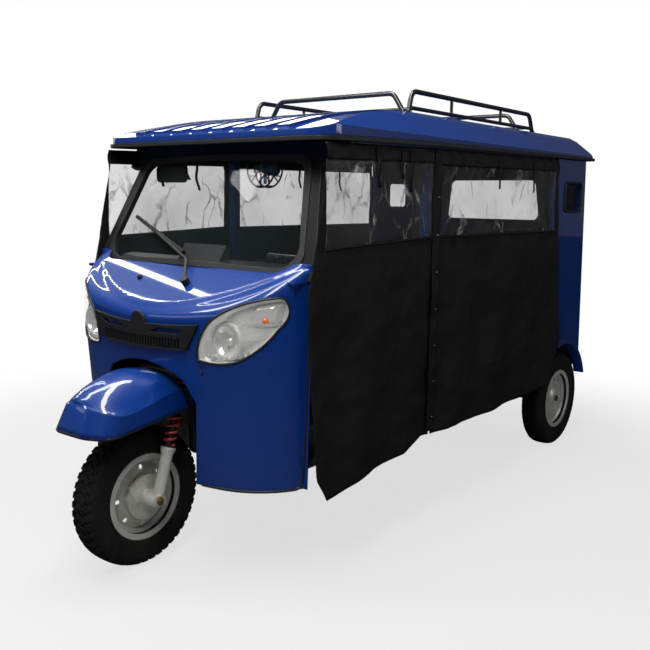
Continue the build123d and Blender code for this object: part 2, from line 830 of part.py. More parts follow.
rib_start = -rib_pitch * (rib_count - 1) / 2 - rib_width / 2
rib_line = Plane(origin=(rib_start, 0, 0), x_dir=(0, 1, 0), z_dir=(1, 0, 0))
with BuildPart() as roof_panel:
    add(roof_form(0))
    with BuildSketch(*[rib_line.offset(i * rib_pitch) for i in range(rib_count)]):
        with BuildLine():
            ThreePointArc(
                (roof_front + rib_setback, roof_edge_front + 46),
                (-640, roof_top - 50 + rib_height),
                (front_rise_y, roof_top + rib_height),
            )
            Polyline(
                (front_rise_y, roof_top + rib_height),
                (roof_rear - 90, roof_top + rib_height),
                (roof_rear - 90, roof_top - 10),
                (front_rise_y, roof_top - 10),
                (roof_front + rib_setback, roof_edge_front + 24),
                (roof_front + rib_setback, roof_edge_front + 46),
            )
        make_face()
    extrude(amount=rib_width)
    add(roof_form(roof_wall, 60), mode=Mode.SUBTRACT)
keep(roof_panel, "roof_panel")


def edge_height(y):
    """Height of the roof's lower edge, which droops ahead of its knee."""
    front_slope = (roof_edge_mid - roof_edge_front) / (roof_knee - roof_front)
    rear_slope = (roof_edge_rear - roof_edge_mid) / (roof_rear - roof_knee)
    return roof_edge_mid + (y - roof_knee) * (front_slope if y < roof_knee else rear_slope)


def edge_band(above, below):
    """Side view of a band along the roof's lower edge."""
    stations = (roof_rear + 2 * trim_reach, roof_knee, roof_front - 2 * trim_reach)
    upper = [(y, edge_height(y) + above) for y in stations]
    lower = [(y, edge_height(y) - below) for y in reversed(stations)]
    with BuildSketch() as band:
        with BuildLine():
            Polyline(*upper, *lower, close=True)
        make_face()
    return band.sketch


with BuildPart() as roof_trim:
    with BuildSketch(Plane.YZ):
        add(edge_band(-seat_gap, trim_height))
    extrude(amount=roof_half_width + trim_reach, both=True)
    with BuildSketch(Plane.XY):
        add(roof_plan(trim_reach))
        add(roof_plan(-trim_lap), mode=Mode.SUBTRACT)
    extrude(amount=2000, mode=Mode.INTERSECT)
keep(roof_trim, "roof_trim")

# Rack: four bent tube hoops with low rails and uprights, feet on the roof's deck
side_hoop = [
    (rack_front, roof_top),
    (rack_front + 26, rack_top),
    (rack_rear - 50, rack_top),
    (rack_rear, roof_top),
]
end_hoop = [(-400, roof_top), (-335, rack_top), (335, rack_top), (400, roof_top)]
with BuildPart() as roof_rack:
    for x in (-rack_half_width, rack_half_width):
        with BuildLine() as hoop:
            FilletPolyline(*[(x, y, z) for y, z in side_hoop], radius=45)
        with BuildSketch(Plane(origin=hoop.line @ 0, z_dir=hoop.line % 0)):
            Circle(rack_tube)
        sweep(path=hoop.line)
        for y in (rack_front + 370, rack_front + 870):
            with BuildSketch(Plane(origin=(x, y, rack_low), z_dir=(0, 0, 1))):
                Circle(rack_tube - 3.5)
            extrude(amount=rack_top - rack_low)
        with BuildSketch(Plane(origin=(x, rack_front + 10, rack_low), z_dir=(0, 1, 0))):
            Circle(rack_tube - 2)
        extrude(amount=rack_rear - rack_front - 28)
    for y in (rack_front + 50, rack_rear - 70):
        with BuildLine() as hoop:
            FilletPolyline(*[(x, y, z) for x, z in end_hoop], radius=45)
        with BuildSketch(Plane(origin=hoop.line @ 0, z_dir=hoop.line % 0)):
            Circle(rack_tube)
        sweep(path=hoop.line)
        with BuildSketch(Plane(origin=(4 - rack_half_width, y, rack_low), z_dir=(1, 0, 0))):
            Circle(rack_tube - 3.5)
        extrude(amount=2 * rack_half_width - 8)
    with BuildSketch(Plane.XY.offset(roof_top + rib_height + 0.5)):
        Rectangle(3000, 4000)
    extrude(amount=200, mode=Mode.INTERSECT)
    for x in (-rack_half_width, rack_half_width):
        for y in (rack_front + 2, rack_rear - 2):
            with BuildSketch(Plane.XY.offset(roof_top)):
                with Locations((x, y)):
                    Circle(rack_tube + 3)
            extrude(amount=rib_height + 4)
keep(roof_rack, "roof_rack")

header_cut = screen_slab(-200, screen_frame_depth + seat_gap)

# Cant rails under the roof's edge and the posts between front and rear curtains
post_outer = curtain_x - seat_gap
with BuildPart() as side_posts:
    with BuildSketch(Plane.YZ):
        add(edge_band(-seat_gap, post_size))
    extrude(amount=post_outer, both=True)
    with BuildSketch(Plane.XY):
        for way in (-1, 1):
            with Locations((way * (post_outer - post_size / 2), (quarter_front_top - seat_gap - 900) / 2)):
                Rectangle(post_size, quarter_front_top - seat_gap + 900)
    extrude(amount=2000, mode=Mode.INTERSECT)
    with BuildSketch(Plane.XY.offset(floor_top)):
        for way in (-1, 1):
            with Locations((way * (post_outer - post_size), post_y)):
                Rectangle(post_size, post_size)
    extrude(amount=roof_edge_mid - trim_height - 20 - floor_top)
    with BuildSketch(Plane.XY):
        add(roof_plan(-trim_lap - seat_gap))
    extrude(amount=2000, mode=Mode.INTERSECT)
    add(header_cut, mode=Mode.SUBTRACT)
keep(side_posts, "side_posts")

# Rear quarters: wheel arch with a standing flare, porthole, leaning rear edge
quarter_low = floor_height
porthole_y = 1367
porthole_z = 1437
porthole_width = 232
porthole_height = 160
for name, way in (("left", 1), ("right", -1)):
    inner_x = way * (body_half_width - panel_thickness)
    inner_face = Plane(origin=(inner_x, 0, 0), x_dir=(0, 1, 0), z_dir=(1, 0, 0))
    with BuildPart() as quarter:
        with BuildSketch(inner_face):
            with BuildLine():
                Polyline(
                    (quarter_front, quarter_low),
                    (quarter_rear_low, quarter_low),
                    (quarter_rear_top, roof_edge_rear - trim_height - seat_gap),
                    (quarter_front_top, roof_edge_rear - trim_height - 8),
                    close=True,
                )
            make_face()
            with Locations((rear_axle_y, tyre_radius)):
                Circle(arch_radius, mode=Mode.SUBTRACT)
            with Locations((porthole_y, porthole_z)):
                RectangleRounded(porthole_width, porthole_height, 34, mode=Mode.SUBTRACT)
        extrude(amount=way * panel_thickness)
        with BuildSketch(inner_face):
            with Locations((rear_axle_y, tyre_radius)):
                Circle(arch_radius + 12)
                Circle(arch_radius - 6, mode=Mode.SUBTRACT)
            with Locations((rear_axle_y, tyre_radius - 400 + 110)):
                Rectangle(900, 800, mode=Mode.SUBTRACT)
            with Locations((quarter_front - 200 + 22, tyre_radius)):
                Rectangle(400, 900, mode=Mode.SUBTRACT)
        extrude(amount=way * (flare_x - body_half_width + panel_thickness))
    keep(quarter, f"rear_quarter_{name}")

wall_lean = (quarter_rear_low - quarter_rear_top) / (roof_edge_rear - quarter_low)
wall_half = body_half_width - panel_thickness - seat_gap
rear_window_low = 1290
rear_window_top = 1545


def wall_band(front, rear):
    """Side view of a layer of the leaning rear wall, measured from the quarters' rear edge."""
    top = roof_edge_rear - trim_height - seat_gap
    low = floor_top + seat_gap
    line = [(quarter_rear_low - wall_lean * (z - quarter_low), z) for z in (low, top)]
    with BuildSketch() as band:
        with BuildLine():
            near_line = [(y + front, z) for y, z in line]
            far_line = [(y + rear, z) for y, z in reversed(line)]
            Polyline(*near_line, *far_line, close=True)
        make_face()
    return band.sketch


def rear_window(inset):
    with BuildSketch() as window:
        with BuildLine():
            Polyline(
                (-328 + inset, rear_window_low + inset),
                (328 - inset, rear_window_low + inset),
                (296 - inset, rear_window_top - inset),
                (inset - 296, rear_window_top - inset),
                close=True,
            )
        make_face()
        fillet(window.vertices(), radius=50)
    return window.sketch


with BuildPart() as rear_wall:
    with BuildSketch(Plane.YZ):
        add(wall_band(-panel_thickness, 0))
    extrude(amount=wall_half, both=True)
    with BuildSketch(Plane.XZ):
        add(rear_window(0))
    extrude(amount=-2000, mode=Mode.SUBTRACT)
keep(rear_wall, "rear_wall")

with BuildPart() as fixed_glass:
    with BuildSketch(Plane.YZ):
        add(wall_band(-panel_thickness + 8, -8))
    extrude(amount=wall_half, both=True)
    with BuildSketch(Plane.XZ):
        add(rear_window(seat_gap))
    extrude(amount=-2000, mode=Mode.INTERSECT)
    for way in (-1, 1):
        glass_place = (way * (body_half_width - 14), 0, 0)
        with BuildSketch(Plane(origin=glass_place, x_dir=(0, 1, 0), z_dir=(1, 0, 0))):
            with Locations((porthole_y, porthole_z)):
                RectangleRounded(porthole_width - 2 * seat_gap, porthole_height - 2 * seat_gap, 34 - seat_gap)
        extrude(amount=way * 6)
keep(fixed_glass, "fixed_glass")

# Tail lamps on the rear wall, tow bar and its brackets below it
lamp_low = 700
lamp_high = 920
with BuildPart() as tail_lamps:
    with BuildSketch(Plane.YZ):
        add(wall_band(seat_gap, 34))
    extrude(amount=wall_half, both=True)
    with BuildSketch(Plane.XZ):
        for way in (-1, 1):
            with Locations((way * 490, (lamp_low + lamp_high) / 2)):
                RectangleRounded(96, lamp_high - lamp_low, 22)
    extrude(amount=-2000, mode=Mode.INTERSECT)
keep(tail_lamps, "tail_lamps")

bumper_y = 1580
tow_bore = 11
tow_lug = 16
with BuildPart() as rear_bumper:
    with BuildSketch(Plane(origin=(-470, bumper_y, rail_bottom + 20), z_dir=(1, 0, 0), x_dir=(0, 1, 0))):
        Circle(22)
    extrude(amount=940)
    for x in (-rail_x, rail_x):
        arm_place = (x, rail_rear + seat_gap, rail_bottom + 20)
        with BuildSketch(Plane(origin=arm_place, z_dir=(0, 1, 0), x_dir=(1, 0, 0))):
            Rectangle(40, 36)
        extrude(amount=bumper_y - rail_rear)
    lug_place = (-tow_lug / 2, bumper_y, rail_bottom - 30)
    with BuildSketch(Plane(origin=lug_place, x_dir=(0, 1, 0), z_dir=(1, 0, 0))):
        SlotCenterToCenter(60, 52, rotation=90)
        with Locations((0, -18)):
            Circle(tow_bore, mode=Mode.SUBTRACT)
    extrude(amount=tow_lug)
keep(rear_bumper, "rear_bumper")

# Wheel housings behind the quarters: arched roof and inner wall
housing_x = 448
with BuildPart() as wheel_housings:
    for way in (-1, 1):
        with BuildSketch(Plane(origin=(way * housing_x, 0, 0), x_dir=(0, 1, 0), z_dir=(1, 0, 0))):
            with Locations((rear_axle_y, tyre_radius)):
                Circle(arch_radius + 8)
            with Locations((rear_axle_y, tyre_radius - 400 + floor_top - tyre_radius + seat_gap)):
                Rectangle(900, 800, mode=Mode.SUBTRACT)
            with Locations((rear_axle_y + 700, 700)):
                Rectangle(900, 900, mode=Mode.SUBTRACT)
        extrude(amount=way * (body_half_width - panel_thickness - seat_gap - housing_x))
        with BuildSketch(Plane(origin=(way * (housing_x + 5), 0, 0), x_dir=(0, 1, 0), z_dir=(1, 0, 0))):
            with Locations((rear_axle_y, tyre_radius)):
                Circle(arch_radius + 3)
        extrude(amount=way * 300, mode=Mode.SUBTRACT)
keep(wheel_housings, "wheel_housings")

# Rear axle: tube with differential, brake drums and stub shafts; leaf springs carry it under the rails
drum_x = rear_track / 2 - 52
axle_half_profile = [
    # along the axle, radius
    (0, 98),
    (45, 90),
    (80, 62),
    (120, axle_tube),
    (drum_x - 46, axle_tube),
    (drum_x - 46, 112),
    (drum_x, 112),
    (drum_x, rear_axle_radius),
    (rear_track / 2 + 48, rear_axle_radius),
]
with BuildPart() as rear_axle:
    with BuildSketch(wheel_plane(0, rear_axle_y)):
        with BuildLine():
            far = axle_half_profile[-1][0]
            left_half = [(-a, r) for a, r in reversed(axle_half_profile)]
            Polyline((-far, 0), *left_half, *axle_half_profile[1:], (far, 0), close=True)
        make_face()
    revolve(axis=axle_line(0, rear_axle_y))
keep(rear_axle, "rear_axle")

with BuildPart() as leaf_springs:
    for way in (-1, 1):
        face = Plane(origin=(way * spring_x, 0, 0), x_dir=(0, 1, 0), z_dir=(1, 0, 0))
        for i in range(leaf_count):
            half = leaf_half * (1 - 0.2 * i)
            low = tyre_radius + axle_tube + seat_gap + (leaf_count - 1 - i) * leaf_thickness
            rise = leaf_rise * (half / leaf_half) ** 2
            with BuildSketch(face):
                with BuildLine():
                    front_eye = (rear_axle_y - half, low + rise)
                    rear_eye = (rear_axle_y + half, low + rise)
                    ThreePointArc(front_eye, (rear_axle_y, low), rear_eye)
                    Line((rear_axle_y + half, low + rise), (rear_axle_y + half, low + rise + leaf_thickness))
                    ThreePointArc(
                        (rear_axle_y + half, low + rise + leaf_thickness),
                        (rear_axle_y, low + leaf_thickness),
                        (rear_axle_y - half, low + rise + leaf_thickness),
                    )
                    Line((rear_axle_y - half, low + rise + leaf_thickness), (rear_axle_y - half, low + rise))
                make_face()
            extrude(amount=leaf_width / 2, both=True)
keep(leaf_springs, "leaf_springs")

with BuildPart() as prop_shaft:
    start = Vector(0, engine_rear + 1.2, 325)
    end = Vector(0, rear_axle_y - 99, tyre_radius)
    with BuildSketch(Plane(origin=start, z_dir=end - start)):
        Circle(22)
    extrude(amount=(end - start).length)
keep(prop_shaft, "prop_shaft")

with BuildPart() as muffler:
    with BuildSketch(Plane(origin=(-235, 40, 290), z_dir=(0, 1, 0), x_dir=(1, 0, 0))):
        Circle(55)
    extrude(amount=430)
    fillet(muffler.edges(), radius=18)
    with BuildLine() as pipe:
        FilletPolyline(
            (-100, engine_rear + seat_gap, 330),
            (-100, -105, 330),
            (-235, -25, 290),
            (-235, 60, 290),
            radius=30,
        )
    with BuildSketch(Plane(origin=pipe.line @ 0, z_dir=pipe.line % 0)):
        Circle(16)
    sweep(path=pipe.line)
    with BuildSketch(Plane(origin=(-235, 460, 290), z_dir=(0, 1, 0), x_dir=(1, 0, 0))):
        Circle(15)
    extrude(amount=120)
keep(muffler, "muffler")

# Seats: boxes on the floor, cushions and backs kept as plain blocks with rounded edges
seat_height = 680
with BuildPart() as seat_boxes:
    with Locations((0, -330, (floor_top + seat_height) / 2)):
        Box(820, 400, seat_height - floor_top)
    with Locations((0, -330, (floor_top + seat_height - 24) / 2)):
        Box(2 * engine_half_width + 8, 370, seat_height - floor_top - 24, mode=Mode.SUBTRACT)
    with Locations((0, 80, (floor_top + seat_height - 60) / 2)):
        Box(1080, 380, seat_height - 60 - floor_top)
    with Locations((0, 1290, (floor_top + seat_height - 30) / 2)):
        Box(2 * housing_x - 4, 460, seat_height - 30 - floor_top)
keep(seat_boxes, "seat_boxes")

cushions = (
    # name, front, rear, bottom, top, width
    ("driver_seat", -530, -200, seat_height, seat_height + 88, 760),
    ("driver_backrest", -196, -122, seat_height, 1150, 760),
    ("front_bench", -46, 272, seat_height - 60, seat_height + 28, 1070),
    ("front_bench_back", -112, -50, seat_height - 60, 1110, 1070),
    ("rear_bench", 1020, 1466, seat_height - 30, seat_height + 58, 1120),
    ("rear_bench_back", 1470, 1526, seat_height - 30, 1180, 1100),
)
for name, front, rear, low, high, width in cushions:
    with BuildPart() as cushion:
        with Locations((0, (front + rear) / 2, (low + high) / 2 + seat_gap)):
            Box(width, rear - front, high - low)
        fillet(cushion.edges(), radius=18)
    keep(cushion, name)

# Curtains: hung cloth on each side, front and rear, with clear panes sewn in
curtain_gap = 4
curtain_drop = 22
front_curtain = (
    # along, height, from the top of the front edge down and round
    (-908, roof_edge_front - curtain_drop),
    (-985, 1232),
    (-1030, 1058),
    (-1014, 693),
    (-997, 388),
    (-942, 299),
    (-755, 324),
    (-401, 348),
    (-245, 390),
    (post_y - curtain_gap, 384),
    (post_y - curtain_gap, roof_edge_mid - curtain_drop),
)
rear_curtain = (
    (post_y + curtain_gap, roof_edge_mid - curtain_drop),
    (post_y + curtain_gap, 384),
    (491, 382),
    (1036, 396),
    (1160, 580),
    (1196, 640),
    (1104, roof_edge_rear - curtain_drop - 2),
)
panes = (
    # front, rear, low at the front, low at the rear, top at the front, top at the rear
    (-900, -240, 1232, 1258, 1518, 1546),
    (-120, 1020, 1252, 1252, 1546, 1556),
)


def pane_outline(inset):
    with BuildSketch() as outline:
        for front, rear, low_front, low_rear, top_front, top_rear in panes:
            with BuildLine():
                Polyline(
                    (front + inset, low_front + inset),
                    (rear - inset, low_rear + inset),
                    (rear - inset, top_rear - inset),
                    (front + inset, top_front - inset),
                    close=True,
                )
            make_face()
    return outline.sketch


for name, way in (("left", 1), ("right", -1)):
    face = Plane(origin=(way * curtain_x, 0, 0), x_dir=(0, 1, 0), z_dir=(1, 0, 0))
    with BuildPart() as curtain:
        with BuildSketch(face):
            for points in (front_curtain, rear_curtain):
                with BuildLine():
                    Polyline(*points, close=True)
                make_face()
            add(pane_outline(0), mode=Mode.SUBTRACT)
        extrude(amount=way * curtain_thickness)
    keep(curtain, f"curtain_{name}")

with BuildPart() as curtain_panes:
    for way in (-1, 1):
        with BuildSketch(Plane(origin=(way * (curtain_x + 1), 0, 0), x_dir=(0, 1, 0), z_dir=(1, 0, 0))):
            add(pane_outline(seat_gap))
        extrude(amount=way * (curtain_thickness - 2))
keep(curtain_panes, "curtain_panes")

# Cab fittings: instrument hood on the cowl, mirror and fan on the screen's header
with BuildPart() as dashboard:
    with BuildSketch(Plane.YZ):
        with BuildLine():
            dash_foot = cowl_height + seat_gap
            Polyline((-1030, dash_foot), (-905, dash_foot), (-915, 1165), (-1030, 1150), close=True)
        make_face()
    extrude(amount=480, both=True)
    with BuildSketch(Plane.YZ):
        with BuildLine():
            Polyline((-990, 1130), (-908, 1130), (-912, 1205), (-930, 1222), close=True)
        make_face()
    extrude(amount=120, both=True)
    add(header_cut, mode=Mode.SUBTRACT)
keep(dashboard, "dashboard")

mirror_x = -355
mirror_y = -790
mirror_z = 1508
with BuildPart() as cab_mirror:
    with Locations((mirror_x, mirror_y, mirror_z)):
        Box(190, 14, 76)
    fillet(cab_mirror.edges().filter_by(Axis.Y), radius=24)
    with BuildLine() as arm:
        mirror_arm_foot = (mirror_x, mirror_y - 90, 1592)
        FilletPolyline((mirror_x, mirror_y, mirror_z), (mirror_x, mirror_y, 1592), mirror_arm_foot, radius=14)
    with BuildSketch(Plane(origin=arm.line @ 0, z_dir=arm.line % 0)):
        Circle(6)
    sweep(path=arm.line)
    add(header_cut, mode=Mode.SUBTRACT)
keep(cab_mirror, "cab_mirror")

# Cab fan: guard and motor hung from the header, blades free on the motor's shaft
fan_x = 180
fan_y = -748
fan_z = 1524
fan_radius = 76
fan_depth = 46
fan_wire = 4
fan_shaft = 4
fan_motor = 26
fan_spokes = 8
fan_blade_count = 4
fan_pitch = 28
fan_face = Plane(origin=(fan_x, fan_y, fan_z), x_dir=(1, 0, 0), z_dir=(0, -1, 0))
fan_arm_z = frame_top - 24
with BuildPart() as fan_guard:
    for along in (0, fan_depth):
        with BuildSketch(fan_face.offset(along)):
            Circle(fan_radius)
            Circle(fan_radius - 6, mode=Mode.SUBTRACT)
            with PolarLocations(fan_radius / 2, fan_spokes):
                Rectangle(fan_radius - 6, fan_wire)
            Circle(18)
        extrude(amount=fan_wire)
    with BuildSketch(fan_face.offset(1)):
        with PolarLocations(fan_radius - 3, fan_spokes, start_angle=22.5):
            Rectangle(fan_wire, fan_wire)
    extrude(amount=fan_depth)
    with BuildSketch(fan_face.offset(-40)):
        Circle(fan_motor)
    extrude(amount=42)
    with BuildSketch(fan_face.offset(1)):
        Circle(fan_shaft)
    extrude(amount=fan_depth - 12)
    with Locations((fan_x, fan_y + 20, (fan_z + fan_arm_z) / 2)):
        Box(12, 12, fan_arm_z - fan_z + 12)
    with Locations((fan_x, fan_y - 60, fan_arm_z)):
        Box(12, 172, 12)
    add(header_cut, mode=Mode.SUBTRACT)
keep(fan_guard, "fan_guard")

with BuildPart() as fan_blades:
    with BuildSketch(fan_face.offset(10)):
        Circle(15)
        Circle(fan_shaft + running_gap, mode=Mode.SUBTRACT)
    extrude(amount=24)
    pitch = radians(fan_pitch)
    for i in range(fan_blade_count):
        turn = radians(360 / fan_blade_count * i)
        outward = Vector(cos(turn), 0, sin(turn))
        chord = Vector(-sin(turn) * cos(pitch), -sin(pitch), cos(turn) * cos(pitch))
        middle = fan_face.offset(22).origin
        with BuildSketch(Plane(origin=middle + outward * 13, x_dir=chord, z_dir=outward)):
            Rectangle(34, 2.5)
        extrude(amount=46)
keep(fan_blades, "fan_blades")
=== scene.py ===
import bpy
import bmesh
import json
from math import asin, atan2, cos, pi, radians, sin, sqrt, tan
from mathutils import Matrix, Vector, noise


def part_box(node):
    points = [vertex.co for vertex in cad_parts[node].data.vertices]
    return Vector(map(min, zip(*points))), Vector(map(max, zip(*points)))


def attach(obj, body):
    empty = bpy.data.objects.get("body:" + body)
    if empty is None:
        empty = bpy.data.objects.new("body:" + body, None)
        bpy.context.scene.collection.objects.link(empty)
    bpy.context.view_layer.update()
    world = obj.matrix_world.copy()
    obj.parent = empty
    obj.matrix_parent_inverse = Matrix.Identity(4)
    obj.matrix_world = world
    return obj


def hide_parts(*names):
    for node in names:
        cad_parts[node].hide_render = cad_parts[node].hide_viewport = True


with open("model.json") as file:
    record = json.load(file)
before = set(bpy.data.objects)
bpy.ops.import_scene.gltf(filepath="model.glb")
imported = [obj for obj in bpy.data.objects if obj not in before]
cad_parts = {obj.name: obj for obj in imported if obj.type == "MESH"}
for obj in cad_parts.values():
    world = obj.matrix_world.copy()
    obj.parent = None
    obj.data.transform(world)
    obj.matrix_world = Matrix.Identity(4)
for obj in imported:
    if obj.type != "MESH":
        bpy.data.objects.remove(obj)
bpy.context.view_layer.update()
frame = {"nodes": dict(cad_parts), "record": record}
nodes = frame["nodes"]
scene = bpy.context.scene
print("frame loaded:", len(nodes), "nodes")

# Camera, at the photograph's place

cameraView = {
    "place": (2.454, -3.250, 1.412),
    "yaw": 38.29,  # degrees, turned from +Y towards -X
    "pitch": 8.75,  # degrees below the horizon
    "roll": 0.83,
    "lens": 45.64,
    "sensor": 36.0,
}


def addCamera(view):
    yaw, pitch, roll = (radians(view[k]) for k in ("yaw", "pitch", "roll"))
    look = Vector((-sin(yaw) * cos(pitch), cos(yaw) * cos(pitch), -sin(pitch)))
    level = Vector((cos(yaw), sin(yaw), 0))
    over = level.cross(look)
    right = level * cos(roll) + over * sin(roll)
    up = over * cos(roll) - level * sin(roll)
    data = bpy.data.cameras.new("photoCamera")
    data.lens = view["lens"]
    data.sensor_width = view["sensor"]
    camera = bpy.data.objects.new("photoCamera", data)
    turn = Matrix((right, up, -look)).transposed().to_4x4()
    camera.matrix_world = Matrix.Translation(view["place"]) @ turn
    scene.collection.objects.link(camera)
    scene.camera = camera


addCamera(cameraView)

# Shader node helpers


def setInput(tree, socket, value):
    # a socket takes another node's output or a plain value
    if isinstance(value, bpy.types.NodeSocket):
        tree.links.new(value, socket)
    else:
        socket.default_value = value


def addNode(tree, kind, settings=None, **inputs):
    node = tree.nodes.new(kind)
    for key, value in (settings or {}).items():
        setattr(node, key, value)
    for key, value in inputs.items():
        setInput(tree, node.inputs[key], value)
    return node


def mathNode(tree, operation, *values, clamp=False):
    node = addNode(tree, "ShaderNodeMath", {"operation": operation, "use_clamp": clamp})
    for socket, value in zip(node.inputs, values):
        setInput(tree, socket, value)
    return node.outputs[0]


def vectorNode(tree, operation, *values):
    node = addNode(tree, "ShaderNodeVectorMath", {"operation": operation})
    for socket, value in zip(node.inputs, values):
        setInput(tree, socket, value)
    return node


def rangeNode(tree, value, fromMin, fromMax, toMin=0.0, toMax=1.0, **settings):
    node = addNode(tree, "ShaderNodeMapRange", settings, Value=value)
    limits = (("From Min", fromMin), ("From Max", fromMax), ("To Min", toMin), ("To Max", toMax))
    for key, limit in limits:
        setInput(tree, node.inputs[key], limit)
    return node.outputs["Result"]


def mixColour(tree, factor, first, second):
    node = addNode(tree, "ShaderNodeMix", {"data_type": "RGBA"}, Factor=factor, A=first, B=second)
    return node.outputs["Result"]


def mixValue(tree, factor, first, second):
    return addNode(tree, "ShaderNodeMix", Factor=factor, A=first, B=second).outputs["Result"]


def objectCoords(tree):
    return addNode(tree, "ShaderNodeTexCoord").outputs["Object"]


# Stage: pale floor, white surroundings, soft lamps

studio = {
    "floorSize": 60.0,
    "floorColour": (0.46, 0.46, 0.46, 1),
    "floorGloss": (0.05, 0.05, 0.052, 1),  # the floor as polished paint mirrors it
    "floorKeep": 0.30,  # share of real shading left in the floor near the wheels, which keeps the shadow
    "floorFade": (1.6, 3.6),  # metres from the middle over which that share ends
    "worldLight": 0.055,
    "glossLow": 0.09,
    "glossHigh": 0.05,
    "lamps": (
        # name, place, aimed at, width, height, watts
        ("ceilingStrip", (0.9, -2.0, 4.4), (0.0, -0.6, 0.8), 0.7, 4.5, 170),
        ("ceilingPair", (-0.9, -1.4, 4.4), (0.0, -0.4, 0.8), 0.5, 4.5, 100),
        ("tubeNear", (-3.1, -0.8, 3.4), (0.0, -1.1, 0.9), 0.05, 5.0, 14),
        ("tubeFar", (-4.0, -0.4, 3.5), (0.0, -1.1, 0.9), 0.05, 5.0, 14),
        ("frontStrip", (-2.4, -4.6, 2.6), (0.0, -1.2, 0.7), 2.4, 0.8, 9),
        ("sideWall", (4.9, 2.4, 2.3), (0.3, -0.2, 1.1), 3.0, 0.5, 16),
        ("rearWall", (-4.4, 3.2, 3.7), (0.0, -0.2, 1.2), 2.6, 1.2, 46),
    ),
}


def addStage(spec):
    bpy.ops.mesh.primitive_plane_add(size=spec["floorSize"], location=(0, 0, 0))
    floor = bpy.context.object
    floor.name = "studioFloor"
    material = bpy.data.materials.new("studioFloor")
    material.use_nodes = True
    tree = material.node_tree
    tree.nodes.clear()
    path = addNode(tree, "ShaderNodeLightPath").outputs
    tone = mixColour(tree, path["Is Glossy Ray"], spec["floorColour"], spec["floorGloss"])
    pale = addNode(tree, "ShaderNodeBsdfDiffuse", Color=tone).outputs["BSDF"]
    white = addNode(tree, "ShaderNodeEmission").outputs["Emission"]
    seen = mathNode(tree, "MAXIMUM", path["Is Camera Ray"], path["Is Transmission Ray"])
    reach = vectorNode(tree, "LENGTH", objectCoords(tree)).outputs["Value"]
    near, far = spec["floorFade"]
    low = 1 - spec["floorKeep"]
    whiteShare = rangeNode(tree, reach, near, far, low, interpolation_type="SMOOTHSTEP")
    mix = tree.nodes.new("ShaderNodeMixShader")
    for socket, value in zip(mix.inputs, (mathNode(tree, "MULTIPLY", seen, whiteShare), pale, white)):
        tree.links.new(value, socket)
    addNode(tree, "ShaderNodeOutputMaterial", Surface=mix.outputs["Shader"])
    floor.data.materials.append(material)

    world = bpy.data.worlds.new("studioWorld")
    scene.world = world
    world.use_nodes = True
    tree = world.node_tree
    background = tree.nodes["Background"]
    path = addNode(tree, "ShaderNodeLightPath").outputs
    height = tree.nodes.new("ShaderNodeSeparateXYZ")
    tree.links.new(addNode(tree, "ShaderNodeTexCoord").outputs["Generated"], height.inputs[0])
    fade = rangeNode(tree, height.outputs["Z"], 0.05, 0.75, spec["glossLow"], spec["glossHigh"])
    seen = mathNode(tree, "MAXIMUM", path["Is Camera Ray"], path["Is Transmission Ray"])
    gloss = mixValue(tree, path["Is Glossy Ray"], spec["worldLight"], fade)
    background.inputs["Color"].default_value = (1, 1, 1, 1)
    tree.links.new(mixValue(tree, seen, gloss, 1.0), background.inputs["Strength"])

    for name, place, target, width, height, watts in spec["lamps"]:
        data = bpy.data.lights.new(name, "AREA")
        data.shape = "RECTANGLE"
        data.size = width
        data.size_y = height
        data.energy = watts
        lamp = bpy.data.objects.new(name, data)
        lamp.location = place
        aim = Vector(target) - Vector(place)
        lamp.rotation_euler = aim.to_track_quat("-Z", "Y").to_euler()
        scene.collection.objects.link(lamp)
    scene.view_settings.view_transform = "Standard"


addStage(studio)
print("stage and lamps set")

# Shared effects, as node groups


def newGroup(name, inputs, outputs):
    group = bpy.data.node_groups.new(name, "ShaderNodeTree")
    for label, value in inputs.items():
        kind = "NodeSocketColor" if isinstance(value, tuple) else "NodeSocketFloat"
        group.interface.new_socket(name=label, in_out="INPUT", socket_type=kind).default_value = value
    for label, kind in outputs.items():
        group.interface.new_socket(name=label, in_out="OUTPUT", socket_type="NodeSocket" + kind)
    return group, group.nodes.new("NodeGroupInput").outputs, group.nodes.new("NodeGroupOutput").inputs


def buildColourDrift():
    # slow changes of shade over a painted or moulded surface
    inputs = {"Colour": (0.5, 0.5, 0.5, 1), "Scale": 6, "Amount": 0.15}
    group, start, end = newGroup("colourDrift", inputs, {"Colour": "Color", "Value": "Float"})
    settings = dict(Vector=objectCoords(group), Scale=start["Scale"], Detail=5.0, Roughness=0.6)
    cloud = addNode(group, "ShaderNodeTexNoise", **settings).outputs["Fac"]
    sized = mathNode(group, "MULTIPLY", rangeNode(group, cloud, 0.3, 0.7, -1, 1), start["Amount"])
    shade = vectorNode(group, "SCALE", start["Colour"])
    setInput(group, shade.inputs["Scale"], mathNode(group, "ADD", sized, 1.0))
    setInput(group, end["Colour"], shade.outputs["Vector"])
    setInput(group, end["Value"], cloud)
    return group


def buildRoadDust():
    # pale dust that thins out with height above the road
    group, start, end = newGroup("roadDust", {"Height": 0.6, "Amount": 0.3, "Scale": 14}, {"Mask": "Float"})
    coords = objectCoords(group)
    apart = addNode(group, "ShaderNodeSeparateXYZ", Vector=coords)
    fall = rangeNode(group, apart.outputs["Z"], 0, start["Height"], 1, 0)
    settings = dict(Vector=coords, Scale=start["Scale"], Detail=7.0, Roughness=0.7)
    cloud = addNode(group, "ShaderNodeTexNoise", **settings).outputs["Fac"]
    both = mathNode(group, "MULTIPLY", fall, rangeNode(group, cloud, 0.4, 0.7))
    setInput(group, end["Mask"], mathNode(group, "MULTIPLY", both, start["Amount"], clamp=True))
    return group


